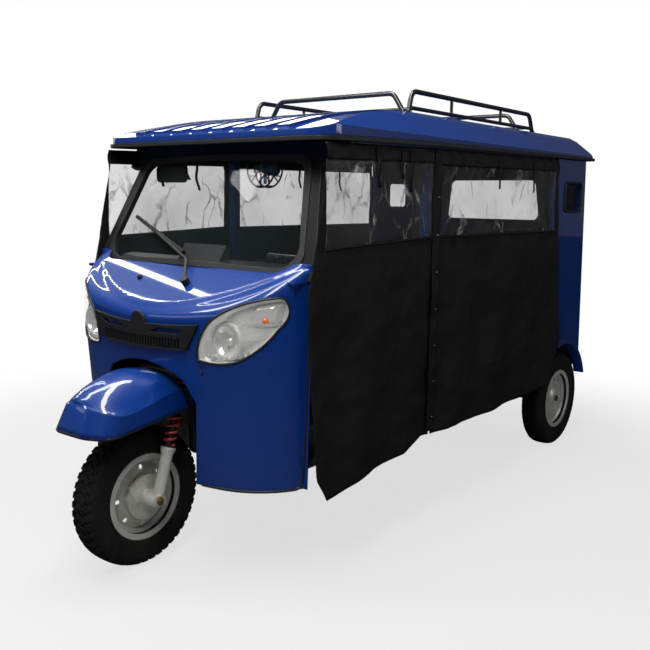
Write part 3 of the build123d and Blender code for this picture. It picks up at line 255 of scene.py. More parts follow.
def buildSoftEdge():
    # rounded edges, and a mask of where they are
    group, start, end = newGroup("softEdge", {"Radius": 0.006}, {"Normal": "Vector", "Mask": "Float"})
    bevel = addNode(group, "ShaderNodeBevel", {"samples": 6}, Radius=start["Radius"]).outputs["Normal"]
    surface = addNode(group, "ShaderNodeNewGeometry").outputs["Normal"]
    along = vectorNode(group, "DOT_PRODUCT", bevel, surface).outputs["Value"]
    setInput(group, end["Normal"], bevel)
    setInput(group, end["Mask"], rangeNode(group, along, 0.99, 0.85))
    return group


def buildWeave():
    # plain weave of fine threads, in the plane across the vehicle's side
    group, start, end = newGroup("weave", {"Threads": 500}, {"Height": "Float"})
    settings = dict(Vector=objectCoords(group), Scale=start["Threads"], Distortion=0.6, Detail=1.0)
    heights = []
    for way in ("Y", "Z"):
        bands = {"wave_type": "BANDS", "bands_direction": way}
        heights.append(addNode(group, "ShaderNodeTexWave", bands, **settings).outputs["Fac"])
    setInput(group, end["Height"], mathNode(group, "MAXIMUM", *heights))
    return group


def buildGrain():
    # pebbled grain of vinyl, rubber and moulded plastic
    group, start, end = newGroup("grain", {"Scale": 400}, {"Height": "Float"})
    settings = dict(Vector=objectCoords(group), Scale=start["Scale"], Smoothness=0.6)
    cells = addNode(group, "ShaderNodeTexVoronoi", {"feature": "SMOOTH_F1"}, **settings)
    setInput(group, end["Height"], cells.outputs["Distance"])
    return group


def buildOrangePeel():
    # slight waviness that sprayed enamel and pressed sheet show
    group, start, end = newGroup("orangePeel", {"Scale": 60, "Waviness": 0.5}, {"Height": "Float"})
    coords = objectCoords(group)
    fine = addNode(group, "ShaderNodeTexNoise", Vector=coords, Scale=start["Scale"], Detail=2.0)
    fine = fine.outputs["Fac"]
    wide = addNode(group, "ShaderNodeTexNoise", Vector=coords, Scale=3.5, Detail=1.0).outputs["Fac"]
    waves = mathNode(group, "MULTIPLY", wide, start["Waviness"])
    setInput(group, end["Height"], mathNode(group, "ADD", waves, mathNode(group, "MULTIPLY", fine, 0.02)))
    return group


def buildCreaseHighlights():
    # painted highlights: pale marks along the creases of a folded clear sheet, standing in for the gloss that
    # catches light there
    group, start, end = newGroup("creaseHighlights", {"Scale": 7, "Width": 0.03}, {"Mask": "Float"})
    coords = objectCoords(group)
    bend = addNode(group, "ShaderNodeTexNoise", Vector=coords, Scale=6.0, Detail=3.0).outputs["Color"]
    sway = vectorNode(group, "SCALE", bend)
    setInput(group, sway.inputs["Scale"], 0.16)
    moved = vectorNode(group, "ADD", coords, sway.outputs["Vector"]).outputs["Vector"]
    tall = addNode(group, "ShaderNodeMapping", Vector=moved, Scale=(0.2, 1.0, 0.45)).outputs["Vector"]
    settings = dict(Vector=tall, Scale=start["Scale"])
    cells = addNode(group, "ShaderNodeTexVoronoi", {"feature": "DISTANCE_TO_EDGE"}, **settings)
    line = rangeNode(group, cells.outputs["Distance"], 0, start["Width"], 1, 0)
    patch = addNode(group, "ShaderNodeTexNoise", Vector=coords, Scale=9.0, Detail=4.0).outputs["Fac"]
    setInput(group, end["Mask"], mathNode(group, "MULTIPLY", line, rangeNode(group, patch, 0.45, 0.68)))
    return group


groups = {
    "colourDrift": buildColourDrift(),
    "roadDust": buildRoadDust(),
    "softEdge": buildSoftEdge(),
    "weave": buildWeave(),
    "grain": buildGrain(),
    "orangePeel": buildOrangePeel(),
    "creaseHighlights": buildCreaseHighlights(),
}

# Finishes


def place(tree, name, **inputs):
    node = tree.nodes.new("ShaderNodeGroup")
    node.node_tree = groups[name]
    for key, value in inputs.items():
        node.inputs[key].default_value = value
    return node


def rgba(colour):
    return (*colour, 1)


def newMaterial(name):
    material = bpy.data.materials.new(name)
    material.use_nodes = True
    return material, material.node_tree, material.node_tree.nodes["Principled BSDF"]


def addRelief(tree, relief, **inputs):
    kind, settings, strength, depth = relief
    height = place(tree, kind, **settings).outputs["Height"]
    bump = addNode(tree, "ShaderNodeBump", Strength=strength, Distance=depth, Height=height, **inputs)
    return bump.outputs["Normal"]


def makeFinish(name, spec):
    # one opaque finish from its numbers: colour drift, dust, worn or softened edges, and a fine relief
    material, tree, shader = newMaterial(name)
    driftSettings = dict(Scale=spec.get("driftScale", 5), Amount=spec.get("drift", 0.12))
    drift = place(tree, "colourDrift", Colour=rgba(spec["colour"]), **driftSettings).outputs
    edge = place(tree, "softEdge", Radius=spec.get("edge", 0.003)).outputs
    colour = drift["Colour"]
    if "wear" in spec:
        patch = mathNode(tree, "MULTIPLY", edge["Mask"], drift["Value"])
        colour = mixColour(tree, patch, colour, rgba(spec["wear"]))
    if spec.get("dust"):
        dust = place(tree, "roadDust", Amount=spec["dust"], Height=spec.get("dustHeight", 0.7))
        colour = mixColour(tree, dust.outputs["Mask"], colour, rgba(dustColour))
    normal = edge["Normal"]
    if "relief" in spec:
        normal = addRelief(tree, spec["relief"], Normal=normal)
    rough = rangeNode(tree, drift["Value"], 0, 1, spec["rough"] * 0.85, min(1, spec["rough"] * 1.15))
    values = {
        "Base Color": colour, "Roughness": rough, "Normal": normal, "Metallic": spec.get("metal", 0),
        "Specular IOR Level": spec.get("specular", 0.5), "Coat Weight": spec.get("coat", 0),
        "Coat Roughness": spec.get("coatRough", 0.05),
    }
    if "glow" in spec:
        values.update({"Emission Color": rgba(spec["glow"]), "Emission Strength": spec["glowStrength"]})
    for key, value in values.items():
        setInput(tree, shader.inputs[key], value)
    return material


def makeGlass(name, spec):
    # thin clear sheet: mostly see-through, with its gloss and a faint body colour, and where asked painted
    # highlights along its creases
    material, tree, shader = newMaterial(name)
    drift = place(tree, "colourDrift", Colour=rgba(spec["colour"]), Scale=3, Amount=0.05).outputs
    colour = drift["Colour"]
    body = rangeNode(tree, drift["Value"], 0.35, 0.75, spec["body"] * 0.7, spec["body"] * 1.3)
    # painted highlights along the creases: pale colour and more opacity there
    if "creaseHighlights" in spec:
        scale, width = spec["creaseHighlights"]
        highlights = place(tree, "creaseHighlights", Scale=scale, Width=width).outputs["Mask"]
        colour = mixColour(tree, highlights, colour, rgba(spec["highlightColour"]))
        body = mathNode(tree, "MULTIPLY_ADD", highlights, spec["highlightBody"], body, clamp=True)
    values = {"Base Color": colour, "Alpha": body, "Roughness": spec["rough"], "IOR": 1.5}
    if "relief" in spec:
        values["Normal"] = addRelief(tree, spec["relief"])
    for key, value in values.items():
        setInput(tree, shader.inputs[key], value)
    return material


dustColour = (0.21, 0.19, 0.165)
finishes = {
    "bluePaint": dict(
        colour=(0.0015, 0.037, 0.242), rough=0.36, specular=0.25, coat=1.0, coatRough=0.03, drift=0.08,
        driftScale=900, edge=0.009, relief=("orangePeel", {"Scale": 90, "Waviness": 0.8}, 0.12, 0.004),
        dust=0.06,
    ),
    "blackPaint": dict(
        colour=(0.012, 0.012, 0.013), rough=0.3, coat=0.6, edge=0.003, wear=(0.10, 0.10, 0.10),
        relief=("orangePeel", {"Scale": 120, "Waviness": 0.2}, 0.1, 0.002), dust=0.12,
    ),
    "silverPaint": dict(
        colour=(0.78, 0.77, 0.71), rough=0.34, metal=0.4, edge=0.003, wear=(0.72, 0.71, 0.68), drift=0.14,
        driftScale=14, relief=("grain", {"Scale": 700}, 0.08, 0.001), dust=0.2, dustHeight=0.6,
    ),
    "springRed": dict(
        colour=(0.36, 0.022, 0.02), rough=0.3, coat=0.5, edge=0.002, dust=0.5, dustHeight=0.9,
    ),
    "brassPlate": dict(
        colour=(0.52, 0.36, 0.12), rough=0.32, metal=0.9, edge=0.002, wear=(0.75, 0.66, 0.45), dust=0.3,
    ),
    "darkSteel": dict(
        colour=(0.055, 0.054, 0.052), rough=0.55, metal=0.6, edge=0.004, wear=(0.16, 0.15, 0.14), drift=0.3,
        driftScale=22, relief=("grain", {"Scale": 300}, 0.25, 0.002), dust=0.7,
    ),
    "tyreRubber": dict(
        colour=(0.0075, 0.0078, 0.0070), rough=0.72, specular=0.3, edge=0.0015, drift=0.2, driftScale=30,
        relief=("grain", {"Scale": 900}, 0.2, 0.0008), dust=0.07, dustHeight=0.7,
    ),
    "sealRubber": dict(
        colour=(0.016, 0.016, 0.017), rough=0.5, edge=0.004, relief=("grain", {"Scale": 900}, 0.12, 0.0006),
    ),
    "darkPlastic": dict(
        colour=(0.014, 0.014, 0.015), rough=0.45, edge=0.003,
        relief=("grain", {"Scale": 1100}, 0.2, 0.0006),
    ),
    "fanPlastic": dict(colour=(0.02, 0.16, 0.42), rough=0.25, coat=0.3, edge=0.001),
    "lampChrome": dict(
        colour=(0.93, 0.93, 0.91), rough=0.12, metal=0.30, coat=0.6, edge=0.002, drift=0.05, driftScale=9,
        relief=("grain", {"Scale": 120}, 0.35, 0.003),
    ),
    "indicatorAmber": dict(
        colour=(0.75, 0.18, 0.01), rough=0.2, coat=0.5, edge=0.001, glow=(0.7, 0.15, 0.01),
        glowStrength=0.15,
    ),
    "tailRed": dict(
        colour=(0.42, 0.012, 0.012), rough=0.18, coat=0.8, edge=0.004,
        relief=("grain", {"Scale": 160}, 0.3, 0.002),
    ),
    "curtainCloth": dict(
        colour=(0.0075, 0.0069, 0.0066), rough=0.56, specular=0.34, edge=0.001, drift=0.22, driftScale=4,
        relief=("weave", {"Threads": 260}, 0.25, 0.0006), dust=0.03,
    ),
    "seatVinyl": dict(
        colour=(0.03, 0.024, 0.034), rough=0.42, coat=0.1, edge=0.004,
        relief=("grain", {"Scale": 420}, 0.3, 0.0012),
    ),
    "matRubber": dict(
        colour=(0.02, 0.02, 0.021), rough=0.7, edge=0.003, relief=("grain", {"Scale": 120}, 0.4, 0.002),
        dust=0.5, dustHeight=0.8,
    ),
}
glasses = {
    "clearGlass": dict(colour=(0.03, 0.04, 0.042), body=0.16, rough=0.01),
    "lampGlass": dict(
        colour=(0.85, 0.86, 0.86), body=0.08, rough=0.02,
        relief=("orangePeel", {"Scale": 40, "Waviness": 0.6}, 0.2, 0.004),
    ),
    # the curtain panes carry painted highlights along their creases
    "clearSheet": dict(
        colour=(0.16, 0.155, 0.15), body=0.20, rough=0.05, creaseHighlights=(9, 0.05), highlightColour=(0.72, 0.71, 0.70),
        highlightBody=0.5, relief=("orangePeel", {"Scale": 18, "Waviness": 1.0}, 0.8, 0.03),
    ),
}
finish = {name: makeFinish(name, spec) for name, spec in finishes.items()}
finish.update({name: makeGlass(name, spec) for name, spec in glasses.items()})

# record's slot -> finish for nodes that keep their CAD form
slotFinish = {
    "blue_paint": "bluePaint", "black_paint": "blackPaint", "silver_paint": "silverPaint",
    "red_paint": "springRed", "zinc_steel": "brassPlate", "steel": "darkSteel", "tyre_rubber": "tyreRubber",
    "seal_rubber": "sealRubber", "dark_plastic": "darkPlastic", "fan_plastic": "fanPlastic",
    "clear_glass": "clearGlass", "lamp_glass": "lampGlass", "lamp_bowl": "lampChrome",
    "tail_lens": "tailRed", "clear_sheet": "clearSheet", "curtain_cloth": "curtainCloth",
    "seat_vinyl": "seatVinyl",
}
slotOf = {name: slot for slot, name in slotFinish.items()}
slotOf["indicatorAmber"] = "lamp_bowl"
nodeFinish = {
    "floor_pan": "matRubber", "fan_guard": "darkPlastic", "muffler": "darkSteel",
    # the screen frame is painted black, standing in for the shade under the roof's visor above the windscreen
    "screen_frame": "blackPaint",
}
for subpart in frame["record"]["subparts"]:
    name = subpart["node"]
    materials = nodes[name].data.materials
    materials.clear()
    materials.append(finish[nodeFinish.get(name, slotFinish[subpart["material_slot"]])])
print("finishes made:", len(finish))

# Mesh helpers


def makePiece(name, verts, faces, material, body="chassis", sharp=35):
    mesh = bpy.data.meshes.new(name)
    mesh.from_pydata([tuple(v) for v in verts], [], faces)
    mesh.update()
    mesh.polygons.foreach_set("use_smooth", [True] * len(mesh.polygons))
    mesh.set_sharp_from_angle(angle=radians(sharp))
    piece = bpy.data.objects.new(name, mesh)
    scene.collection.objects.link(piece)
    mesh.materials.append(finish[material])
    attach(piece, body)
    return piece


def applyModifiers(piece):
    bpy.context.view_layer.update()
    evaluated = piece.evaluated_get(bpy.context.evaluated_depsgraph_get())
    mesh = bpy.data.meshes.new_from_object(evaluated)
    piece.modifiers.clear()
    piece.data = mesh


def thicken(piece, thick, offset=0):
    solid = piece.modifiers.new("thickness", "SOLIDIFY")
    solid.thickness = thick
    solid.offset = offset
    applyModifiers(piece)


def gridFaces(rows, columns, closeRows=False, closeColumns=False):
    faces = []
    for i in range(rows if closeRows else rows - 1):
        for j in range(columns if closeColumns else columns - 1):
            a, b = i, (i + 1) % rows
            c, d = j, (j + 1) % columns
            faces.append((a * columns + c, a * columns + d, b * columns + d, b * columns + c))
    return faces


def addBlock(verts, faces, corners):
    # a closed block from its four lower and four upper corners
    base = len(verts)
    verts.extend(corners)
    for quad in ((3, 2, 1, 0), (4, 5, 6, 7), (0, 1, 5, 4), (1, 2, 6, 5), (2, 3, 7, 6), (3, 0, 4, 7)):
        faces.append(tuple(base + k for k in quad))


def makeTube(name, points, radius, material, body="chassis", closed=False):
    # round tube along a smooth curve
    curve = bpy.data.curves.new(name, "CURVE")
    curve.dimensions = "3D"
    curve.bevel_depth = radius
    curve.bevel_resolution = 2
    curve.use_fill_caps = True
    spline = curve.splines.new("NURBS")
    spline.points.add(len(points) - 1)
    for spot, point in zip(spline.points, points):
        spot.co = (*point, 1)
    spline.use_cyclic_u = closed
    spline.order_u = 3
    spline.use_endpoint_u = not closed
    holder = bpy.data.objects.new(name + "Path", curve)
    scene.collection.objects.link(holder)
    bpy.context.view_layer.update()
    mesh = bpy.data.meshes.new_from_object(holder.evaluated_get(bpy.context.evaluated_depsgraph_get()))
    bpy.data.objects.remove(holder)
    mesh.name = name
    piece = bpy.data.objects.new(name, mesh)
    scene.collection.objects.link(piece)
    mesh.materials.clear()
    mesh.materials.append(finish[material])
    mesh.polygons.foreach_set("use_smooth", [True] * len(mesh.polygons))
    mesh.set_sharp_from_angle(angle=radians(50))
    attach(piece, body)
    return piece


def joinPieces(parts):
    # several meshes of one body and finish as one piece
    verts, faces = [], []
    for partVerts, partFaces in parts:
        base = len(verts)
        verts.extend(partVerts)
        faces.extend(tuple(base + k for k in face) for face in partFaces)
    return verts, faces


def lathe(origin, axis, profile, sides=16):
    # closed round form from radius and height pairs along an axis
    axis = Vector(axis).normalized()
    side = axis.orthogonal().normalized()
    over = axis.cross(side)
    verts = []
    for radius, height in profile:
        for k in range(sides):
            turn = 2 * pi * k / sides
            verts.append(Vector(origin) + axis * height + (side * cos(turn) + over * sin(turn)) * radius)
    faces = gridFaces(len(profile), sides, closeColumns=True)
    faces.append(tuple(range(sides - 1, -1, -1)))
    faces.append(tuple((len(profile) - 1) * sides + k for k in range(sides)))
    return verts, faces


def arcPoints(start, via, end, count):
    # points on the arc through three places in a plane, without the last
    (ax, ay), (bx, by), (cx, cy) = start, via, end
    a, b, c = ax * ax + ay * ay, bx * bx + by * by, cx * cx + cy * cy
    d = 2 * (ax * (by - cy) + bx * (cy - ay) + cx * (ay - by))
    mx = (a * (by - cy) + b * (cy - ay) + c * (ay - by)) / d
    my = (a * (cx - bx) + b * (ax - cx) + c * (bx - ax)) / d
    first = atan2(ay - my, ax - mx)
    middle = (atan2(by - my, bx - mx) - first) % (2 * pi)
    turn = (atan2(cy - my, cx - mx) - first) % (2 * pi)
    if middle > turn:
        turn -= 2 * pi
    reach = sqrt((ax - mx) ** 2 + (ay - my) ** 2)
    angles = [first + turn * k / count for k in range(count)]
    return [(mx + reach * cos(angle), my + reach * sin(angle)) for angle in angles]


def alongLine(points, at):
    # value on a broken line; its points run in either direction
    ordered = sorted(points)
    if at <= ordered[0][0]:
        return ordered[0][1]
    for (a, va), (b, vb) in zip(ordered, ordered[1:]):
        if at <= b:
            return va + (vb - va) * (at - a) / (b - a) if b > a else vb
    return ordered[-1][1]


def ease(t):
    t = max(0.0, min(1.0, t))
    return t * t * (3 - 2 * t)


# Tyres

tyre = {
    "treadDepth": 0.007,
    "segments": 112,
    "pitches": 46,  # blocks round the tread
    "section": (
        # out from the middle, radius, up to the bead
        (0.0, 0.272), (0.020, 0.2718), (0.034, 0.2702), (0.044, 0.266), (0.0505, 0.2605), (0.0555, 0.2515),
        (0.0585, 0.239), (0.0598, 0.226), (0.0592, 0.208), (0.0565, 0.190), (0.0520, 0.176), (0.0467, 0.1695),
        (0.0467, 0.1523),
    ),
}


def sectionRadius(across):
    # tread's outer radius at a distance from the wheel's middle plane
    points = tyre["section"]
    across = abs(across)
    for (a, ra), (b, rb) in zip(points, points[1:]):
        if a <= across <= b:
            return ra + (rb - ra) * (across - a) / (b - a)
    return points[-1][1]


def wheelPoint(centre, across, radius, turn):
    return (centre[0] + across, centre[1] + radius * cos(turn), centre[2] + radius * sin(turn))


def makeTyre(name, centre, body, node, blocks):
    depth = tyre["treadDepth"]
    ribs = []
    for a, r in tyre["section"]:
        r -= depth if a <= 0.0505 else depth * max(0, (0.0585 - a) / 0.008)
        ribs.append((a, r))
        if 0.0555 <= a <= 0.0592:
            ribs.append((a + 0.0006, r - 0.004))  # fine mould rings on the sidewall
    ring = [(-a, r) for a, r in reversed(ribs)] + ribs[1:]
    ring = ring + [(ring[0][0] * -1 * 0.9, ring[0][1]), (ring[0][0] * 0.9, ring[0][1])]
    count = tyre["segments"]
    verts = [wheelPoint(centre, a, r, 2 * pi * i / count) for i in range(count) for a, r in ring]
    faces = gridFaces(count, len(ring), closeRows=True, closeColumns=True)
    step = 2 * pi / tyre["pitches"]
    for i in range(tyre["pitches"]):
        for low, high, start, end, skew in blocks:
            corners = []
            for lift in (-depth - 0.001, 0):
                for across, at in ((low, start), (high, start + skew), (high, end + skew), (low, end)):
                    corners.append(wheelPoint(centre, across, sectionRadius(across) + lift, (i + at) * step))
            if low > high:
                corners = corners[3::-1] + corners[:3:-1]
            addBlock(verts, faces, corners)
    piece = makePiece(name, verts, faces, "tyreRubber", body, sharp=30)
    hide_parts(node)
    return piece


# blocks: from and to across the tread, start and end as shares of a pitch, skew
knobbly = []
for way in (-1, 1):
    knobbly += [
        (way * 0.001, way * 0.0125, 0.02, 0.66, 0.26), (way * 0.0150, way * 0.030, 0.30, 0.86, 0.18),
        (way * 0.0325, way * 0.0445, 0.06, 0.62, 0.14), (way * 0.0440, way * 0.0560, 0.10, 0.60, 0.02),
    ]
ribbed = []
for way in (-1, 1):
    ribbed += [
        (way * 0.0012, way * 0.0115, 0.03, 0.97, 0.20), (way * 0.0150, way * 0.0265, 0.03, 0.97, -0.20),
        (way * 0.0300, way * 0.0430, 0.05, 0.95, 0.12), (way * 0.0430, way * 0.0540, 0.12, 0.80, 0.0),
    ]
axleY, axleZ, trackHalf = 1.297, 0.272, 0.556
makeTyre("frontTyreTread", (0, -axleY, axleZ), "front_wheel", "front_tyre", knobbly)
makeTyre("rearLeftTyreTread", (trackHalf, axleY, axleZ), "rear_wheel_left", "rear_left_tyre", ribbed)
makeTyre("rearRightTyreTread", (-trackHalf, axleY, axleZ), "rear_wheel_right", "rear_right_tyre", ribbed)
print("tyres made")

# Fork: coil springs over the stanchions

fork = {
    "foot": Vector((0, -1.252, 0.272)),
    "rake": radians(16),
    "spacing": 0.210,
    "ahead": 0.031,
    "springFrom": 0.193,
    "springTo": 0.451,
    "coils": 9,
    "coilRadius": 0.0207,
    "wire": 0.0060,
}
steerAxis = Vector((0, sin(fork["rake"]), cos(fork["rake"])))
steerBack = Vector((0, cos(fork["rake"]), -sin(fork["rake"])))


def makeSprings(spec):
    parts = []
    around, sides = 20, 8
    for way in (-1, 1):
        verts = []
        steps = spec["coils"] * around
        base = spec["foot"] + Vector((way * spec["spacing"] / 2, 0, 0)) - steerBack * spec["ahead"]
        for i in range(steps + 1):
            t = i / steps
            # the end coils lie closed
            rise = t + 0.012 * sin(2 * pi * t) * -1
            turn = 2 * pi * spec["coils"] * t
            outward = Vector((1, 0, 0)) * cos(turn) + steerBack * sin(turn)
            wire, length = spec["wire"], spec["springTo"] - spec["springFrom"]
            at = base + steerAxis * (spec["springFrom"] + wire + (length - 2 * wire) * rise)
            for k in range(sides):
                a = 2 * pi * k / sides
                verts.append(at + outward * (spec["coilRadius"] + wire * cos(a)) + steerAxis * wire * sin(a))
        faces = gridFaces(steps + 1, sides, closeColumns=True)
        faces.append(tuple(range(sides - 1, -1, -1)))
        faces.append(tuple(steps * sides + k for k in range(sides)))
        parts.append((verts, faces))
    piece = makePiece("forkCoilSprings", *joinPieces(parts), "springRed", "fork", sharp=60)
    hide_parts("fork_springs")


makeSprings(fork)
print("fork springs made")

# Front shell: where its outer face lies, for the lamps, creases and small fittings on it

shell = {
    "nose": -1.270,
    "noseRadius": 1.600,
    "corner": 0.345,
    "half": 0.603,
    "levels": (0.270, 0.870),
    "footBack": 0.052,
    "footNarrow": 0.014,
    "bonnetHeight": 0.985,
    "bonnetSlope": radians(34.6),
    "edgeRound": 0.045,  # how far from the bonnet's edge its rounding starts
    "crease": (1.008, 0.50, 0.0045),  # height in the middle, rise with the width squared, depth
    "sideRound": (0.490, 0.028),  # where the bonnet starts to fall to the flank, and by how much
    "low": 0.340,
    "back": -0.985,
    "lipTop": 1.178,
    "cowl": 1.118,
    "skin": 0.005,
    "cutReach": (-1.5, -0.95),  # from where to where the openings are cut
    "rows": 110,
    "flankSteps": 8,
    "cornerSteps": 30,
    "noseSteps": 56,
    "well": ((0.231, 0.300), (0.262, 0.660), (0.208, 0.742)),
    "wellTop": 0.796,
    "nozzle": (-0.172, 1.085),
    "buttons": ((0.298, 0.806), (0.298, 0.780)),
}
screen = {
    "footY": -1.045,
    "footZ": 1.140,
    "lean": radians(24),
    "bulgeRadius": 3.632,
    "low": 0.574,
    "corner": 0.118,
    "side": 0.2158,
}
noseTilt = asin(shell["corner"] / shell["noseRadius"])


def smoothMax(a, b, width):
    near = max(width - abs(a - b), 0) / width
    return max(a, b) + near * near * width / 4


def nosePlan(z):
    # front, half width, and the corner arc's radius and middle at a height
    low, high = shell["levels"]
    share = max(0.0, (high - z) / (high - low))
    front = shell["nose"] + shell["footBack"] * share
    half = shell["half"] - shell["footNarrow"] * share
    turn = (half - shell["corner"]) / (1 - sin(noseTilt))
    middle = front + shell["noseRadius"] * (1 - cos(noseTilt)) + turn * cos(noseTilt)
    return front, half, turn, middle


def bonnetCut(x, y, z):
    # the bonnet's slope takes the top off the nose, with a rounded edge and a crease across it
    slope = shell["nose"] + (z - shell["bonnetHeight"]) / tan(shell["bonnetSlope"])
    start, fall = shell["sideRound"]
    slope += fall * (max(0.0, abs(x) - start) / (shell["half"] - start)) ** 2
    level, rise, depth = shell["crease"]
    below = level + rise * x * x - z
    crease = depth * ease(below / 0.006) * (1 - ease((below - 0.010) / 0.035))
    return smoothMax(y, slope, shell["edgeRound"]) + crease * ease((slope - y + 0.02) / 0.02)


def shellDepth(x, z):
    front, half, turn, middle = nosePlan(z)
    reach = min(abs(x), half - 0.0005)
    if reach <= shell["corner"]:
        y = front + shell["noseRadius"] - sqrt(shell["noseRadius"] ** 2 - reach * reach)
    else:
        y = middle - sqrt(turn**2 - (reach - shell["corner"] + turn * sin(noseTilt)) ** 2)
    return bonnetCut(x, y, z)


def onShell(x, z, out=0.0):
    return Vector((x, shellDepth(x, z) - out, z))


def skinTop(x):
    # the skin ends at the screen's face, and below the seal where that comes lower
    sag = screen["bulgeRadius"] - sqrt(screen["bulgeRadius"] ** 2 - x * x)
    run, fall = 1 / tan(shell["bonnetSlope"]), tan(screen["lean"])
    bonnet = shell["bonnetHeight"] * run
    atFace = (screen["footY"] + sag - shell["nose"] + bonnet - screen["footZ"] * fall) / (run - fall)
    inCorner = max(0.0, abs(x) - (screen["low"] - screen["corner"]))
    inCorner /= screen["corner"] * (1 - screen["side"])
    local = screen["corner"] * (1 - sqrt(max(0.0, 1 - min(1.0, inCorner) ** 2)))
    return min(shell["lipTop"], atFace, screen["footZ"] + cos(screen["lean"]) * local + 0.002)


def prism(outline, near, far):
    # cutter: an outline seen from the front, drawn through from near to far
    count = len(outline)
    verts = [(x, y, z) for y in (near, far) for x, z in outline]
    faces = [tuple(range(count)), tuple(range(2 * count - 1, count - 1, -1))]
    faces += [(k, k + count, (k + 1) % count + count, (k + 1) % count) for k in range(count)]
    mesh = bpy.data.meshes.new("cutter")
    mesh.from_pydata(verts, [], faces)
    cutter = bpy.data.objects.new("cutter", mesh)
    bm = bmesh.new()
    bm.from_mesh(mesh)
    bmesh.ops.recalc_face_normals(bm, faces=bm.faces[:])
    bm.to_mesh(mesh)
    bm.free()
    scene.collection.objects.link(cutter)
    return cutter


def makeShellSkin(spec):
    flank, corner, nose = spec["flankSteps"], spec["cornerSteps"], spec["noseSteps"]
    places = [("flank", k / flank) for k in range(flank)] + [("corner", k / corner) for k in range(corner)]
    places = places + [("nose", k / nose) for k in range(nose + 1)]
    places += [(kind, -1 - share) for kind, share in reversed(places[: flank + corner])]

    def planPoint(kind, share, z):
        front, half, turn, middle = nosePlan(z)
        way, share = (-1, -1 - share) if share < 0 else (1, share)
        if kind == "flank":
            return way * half, spec["back"] + (middle - spec["back"]) * share
        if kind == "corner":
            angle = (pi / 2 - noseTilt) * share
            return way * (spec["corner"] + turn * (cos(angle) - sin(noseTilt))), middle - turn * sin(angle)
        x = spec["corner"] * (1 - 2 * share)
        return x, front + spec["noseRadius"] - sqrt(spec["noseRadius"] ** 2 - x * x)

    verts = []
    for i in range(spec["rows"] + 1):
        for kind, share in places:
            top = skinTop(planPoint(kind, share, spec["lipTop"])[0])
            z = spec["low"] + (top - spec["low"]) * i / spec["rows"]
            x, y = planPoint(kind, share, z)
            verts.append(Vector((x, min(bonnetCut(x, y, z), spec["back"]), z)))
    faces = [face[::-1] for face in gridFaces(spec["rows"] + 1, len(places))]
    skin = makePiece("frontShellSkin", verts, faces, "bluePaint", sharp=40)
    bm = bmesh.new()
    bm.from_mesh(skin.data)
    bmesh.ops.remove_doubles(bm, verts=bm.verts[:], dist=0.0002)
    bmesh.ops.dissolve_degenerate(bm, edges=bm.edges[:], dist=0.0001)
    bmesh.ops.recalc_face_normals(bm, faces=bm.faces[:])
    bm.to_mesh(skin.data)
    bm.free()
    solid = skin.modifiers.new("thickness", "SOLIDIFY")
    solid.thickness = spec["skin"]
    solid.offset = -1
    side = list(spec["well"])
    x, z = side[-1]
    outline = side + arcPoints((x, z), (0, spec["wellTop"]), (-x, z), 24)[1:]
    outline += [(-x, z) for x, z in reversed(side)]
    cutters = [prism(outline, *spec["cutReach"])]
    for way in (-1, 1):
        cutters.append(prism([(way * x, z) for x, z in lampOutline()], *spec["cutReach"]))
    for cutter in cutters:
        cut = skin.modifiers.new("opening", "BOOLEAN")
        cut.object = cutter
        cut.solver = "EXACT"
    applyModifiers(skin)
    for cutter in cutters:
        bpy.data.objects.remove(cutter)
    skin.data.polygons.foreach_set("use_smooth", [True] * len(skin.data.polygons))
    skin.data.set_sharp_from_angle(angle=radians(40))
    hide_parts("front_shell")
    verts, faces = [], []
    near = shell["nose"] + (spec["cowl"] - shell["bonnetHeight"]) / tan(shell["bonnetSlope"]) + 0.012
    plan = ((-0.59, near), (0.59, near), (0.59, spec["back"]), (-0.59, spec["back"]))
    corners = [(x, y, z) for z in (spec["cowl"] - 0.012, spec["cowl"]) for x, y in plan]
    addBlock(verts, faces, corners)
    plate = makePiece("cowlPlate", verts, faces, "bluePaint")
    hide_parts("front_shell")


def makeShellDetails(spec):
    up = (0, -sin(spec["bonnetSlope"]), cos(spec["bonnetSlope"]))
    profile = ((0.011, -0.002), (0.011, 0.003), (0.008, 0.008), (0.007, 0.013), (0.003, 0.016))
    makePiece("washerNozzle", *lathe(onShell(*spec["nozzle"]), up, profile), "darkPlastic")
    profile = ((0.006, -0.003), (0.006, 0.002), (0.004, 0.004))
    dots = [lathe(onShell(x, z), (0, -1, 0), profile) for x, z in spec["buttons"]]
    makePiece("shellButtons", *joinPieces(dots), "darkPlastic")


# Headlamps: chrome bowl with one round reflector, a faceted indicator and a row of small squares

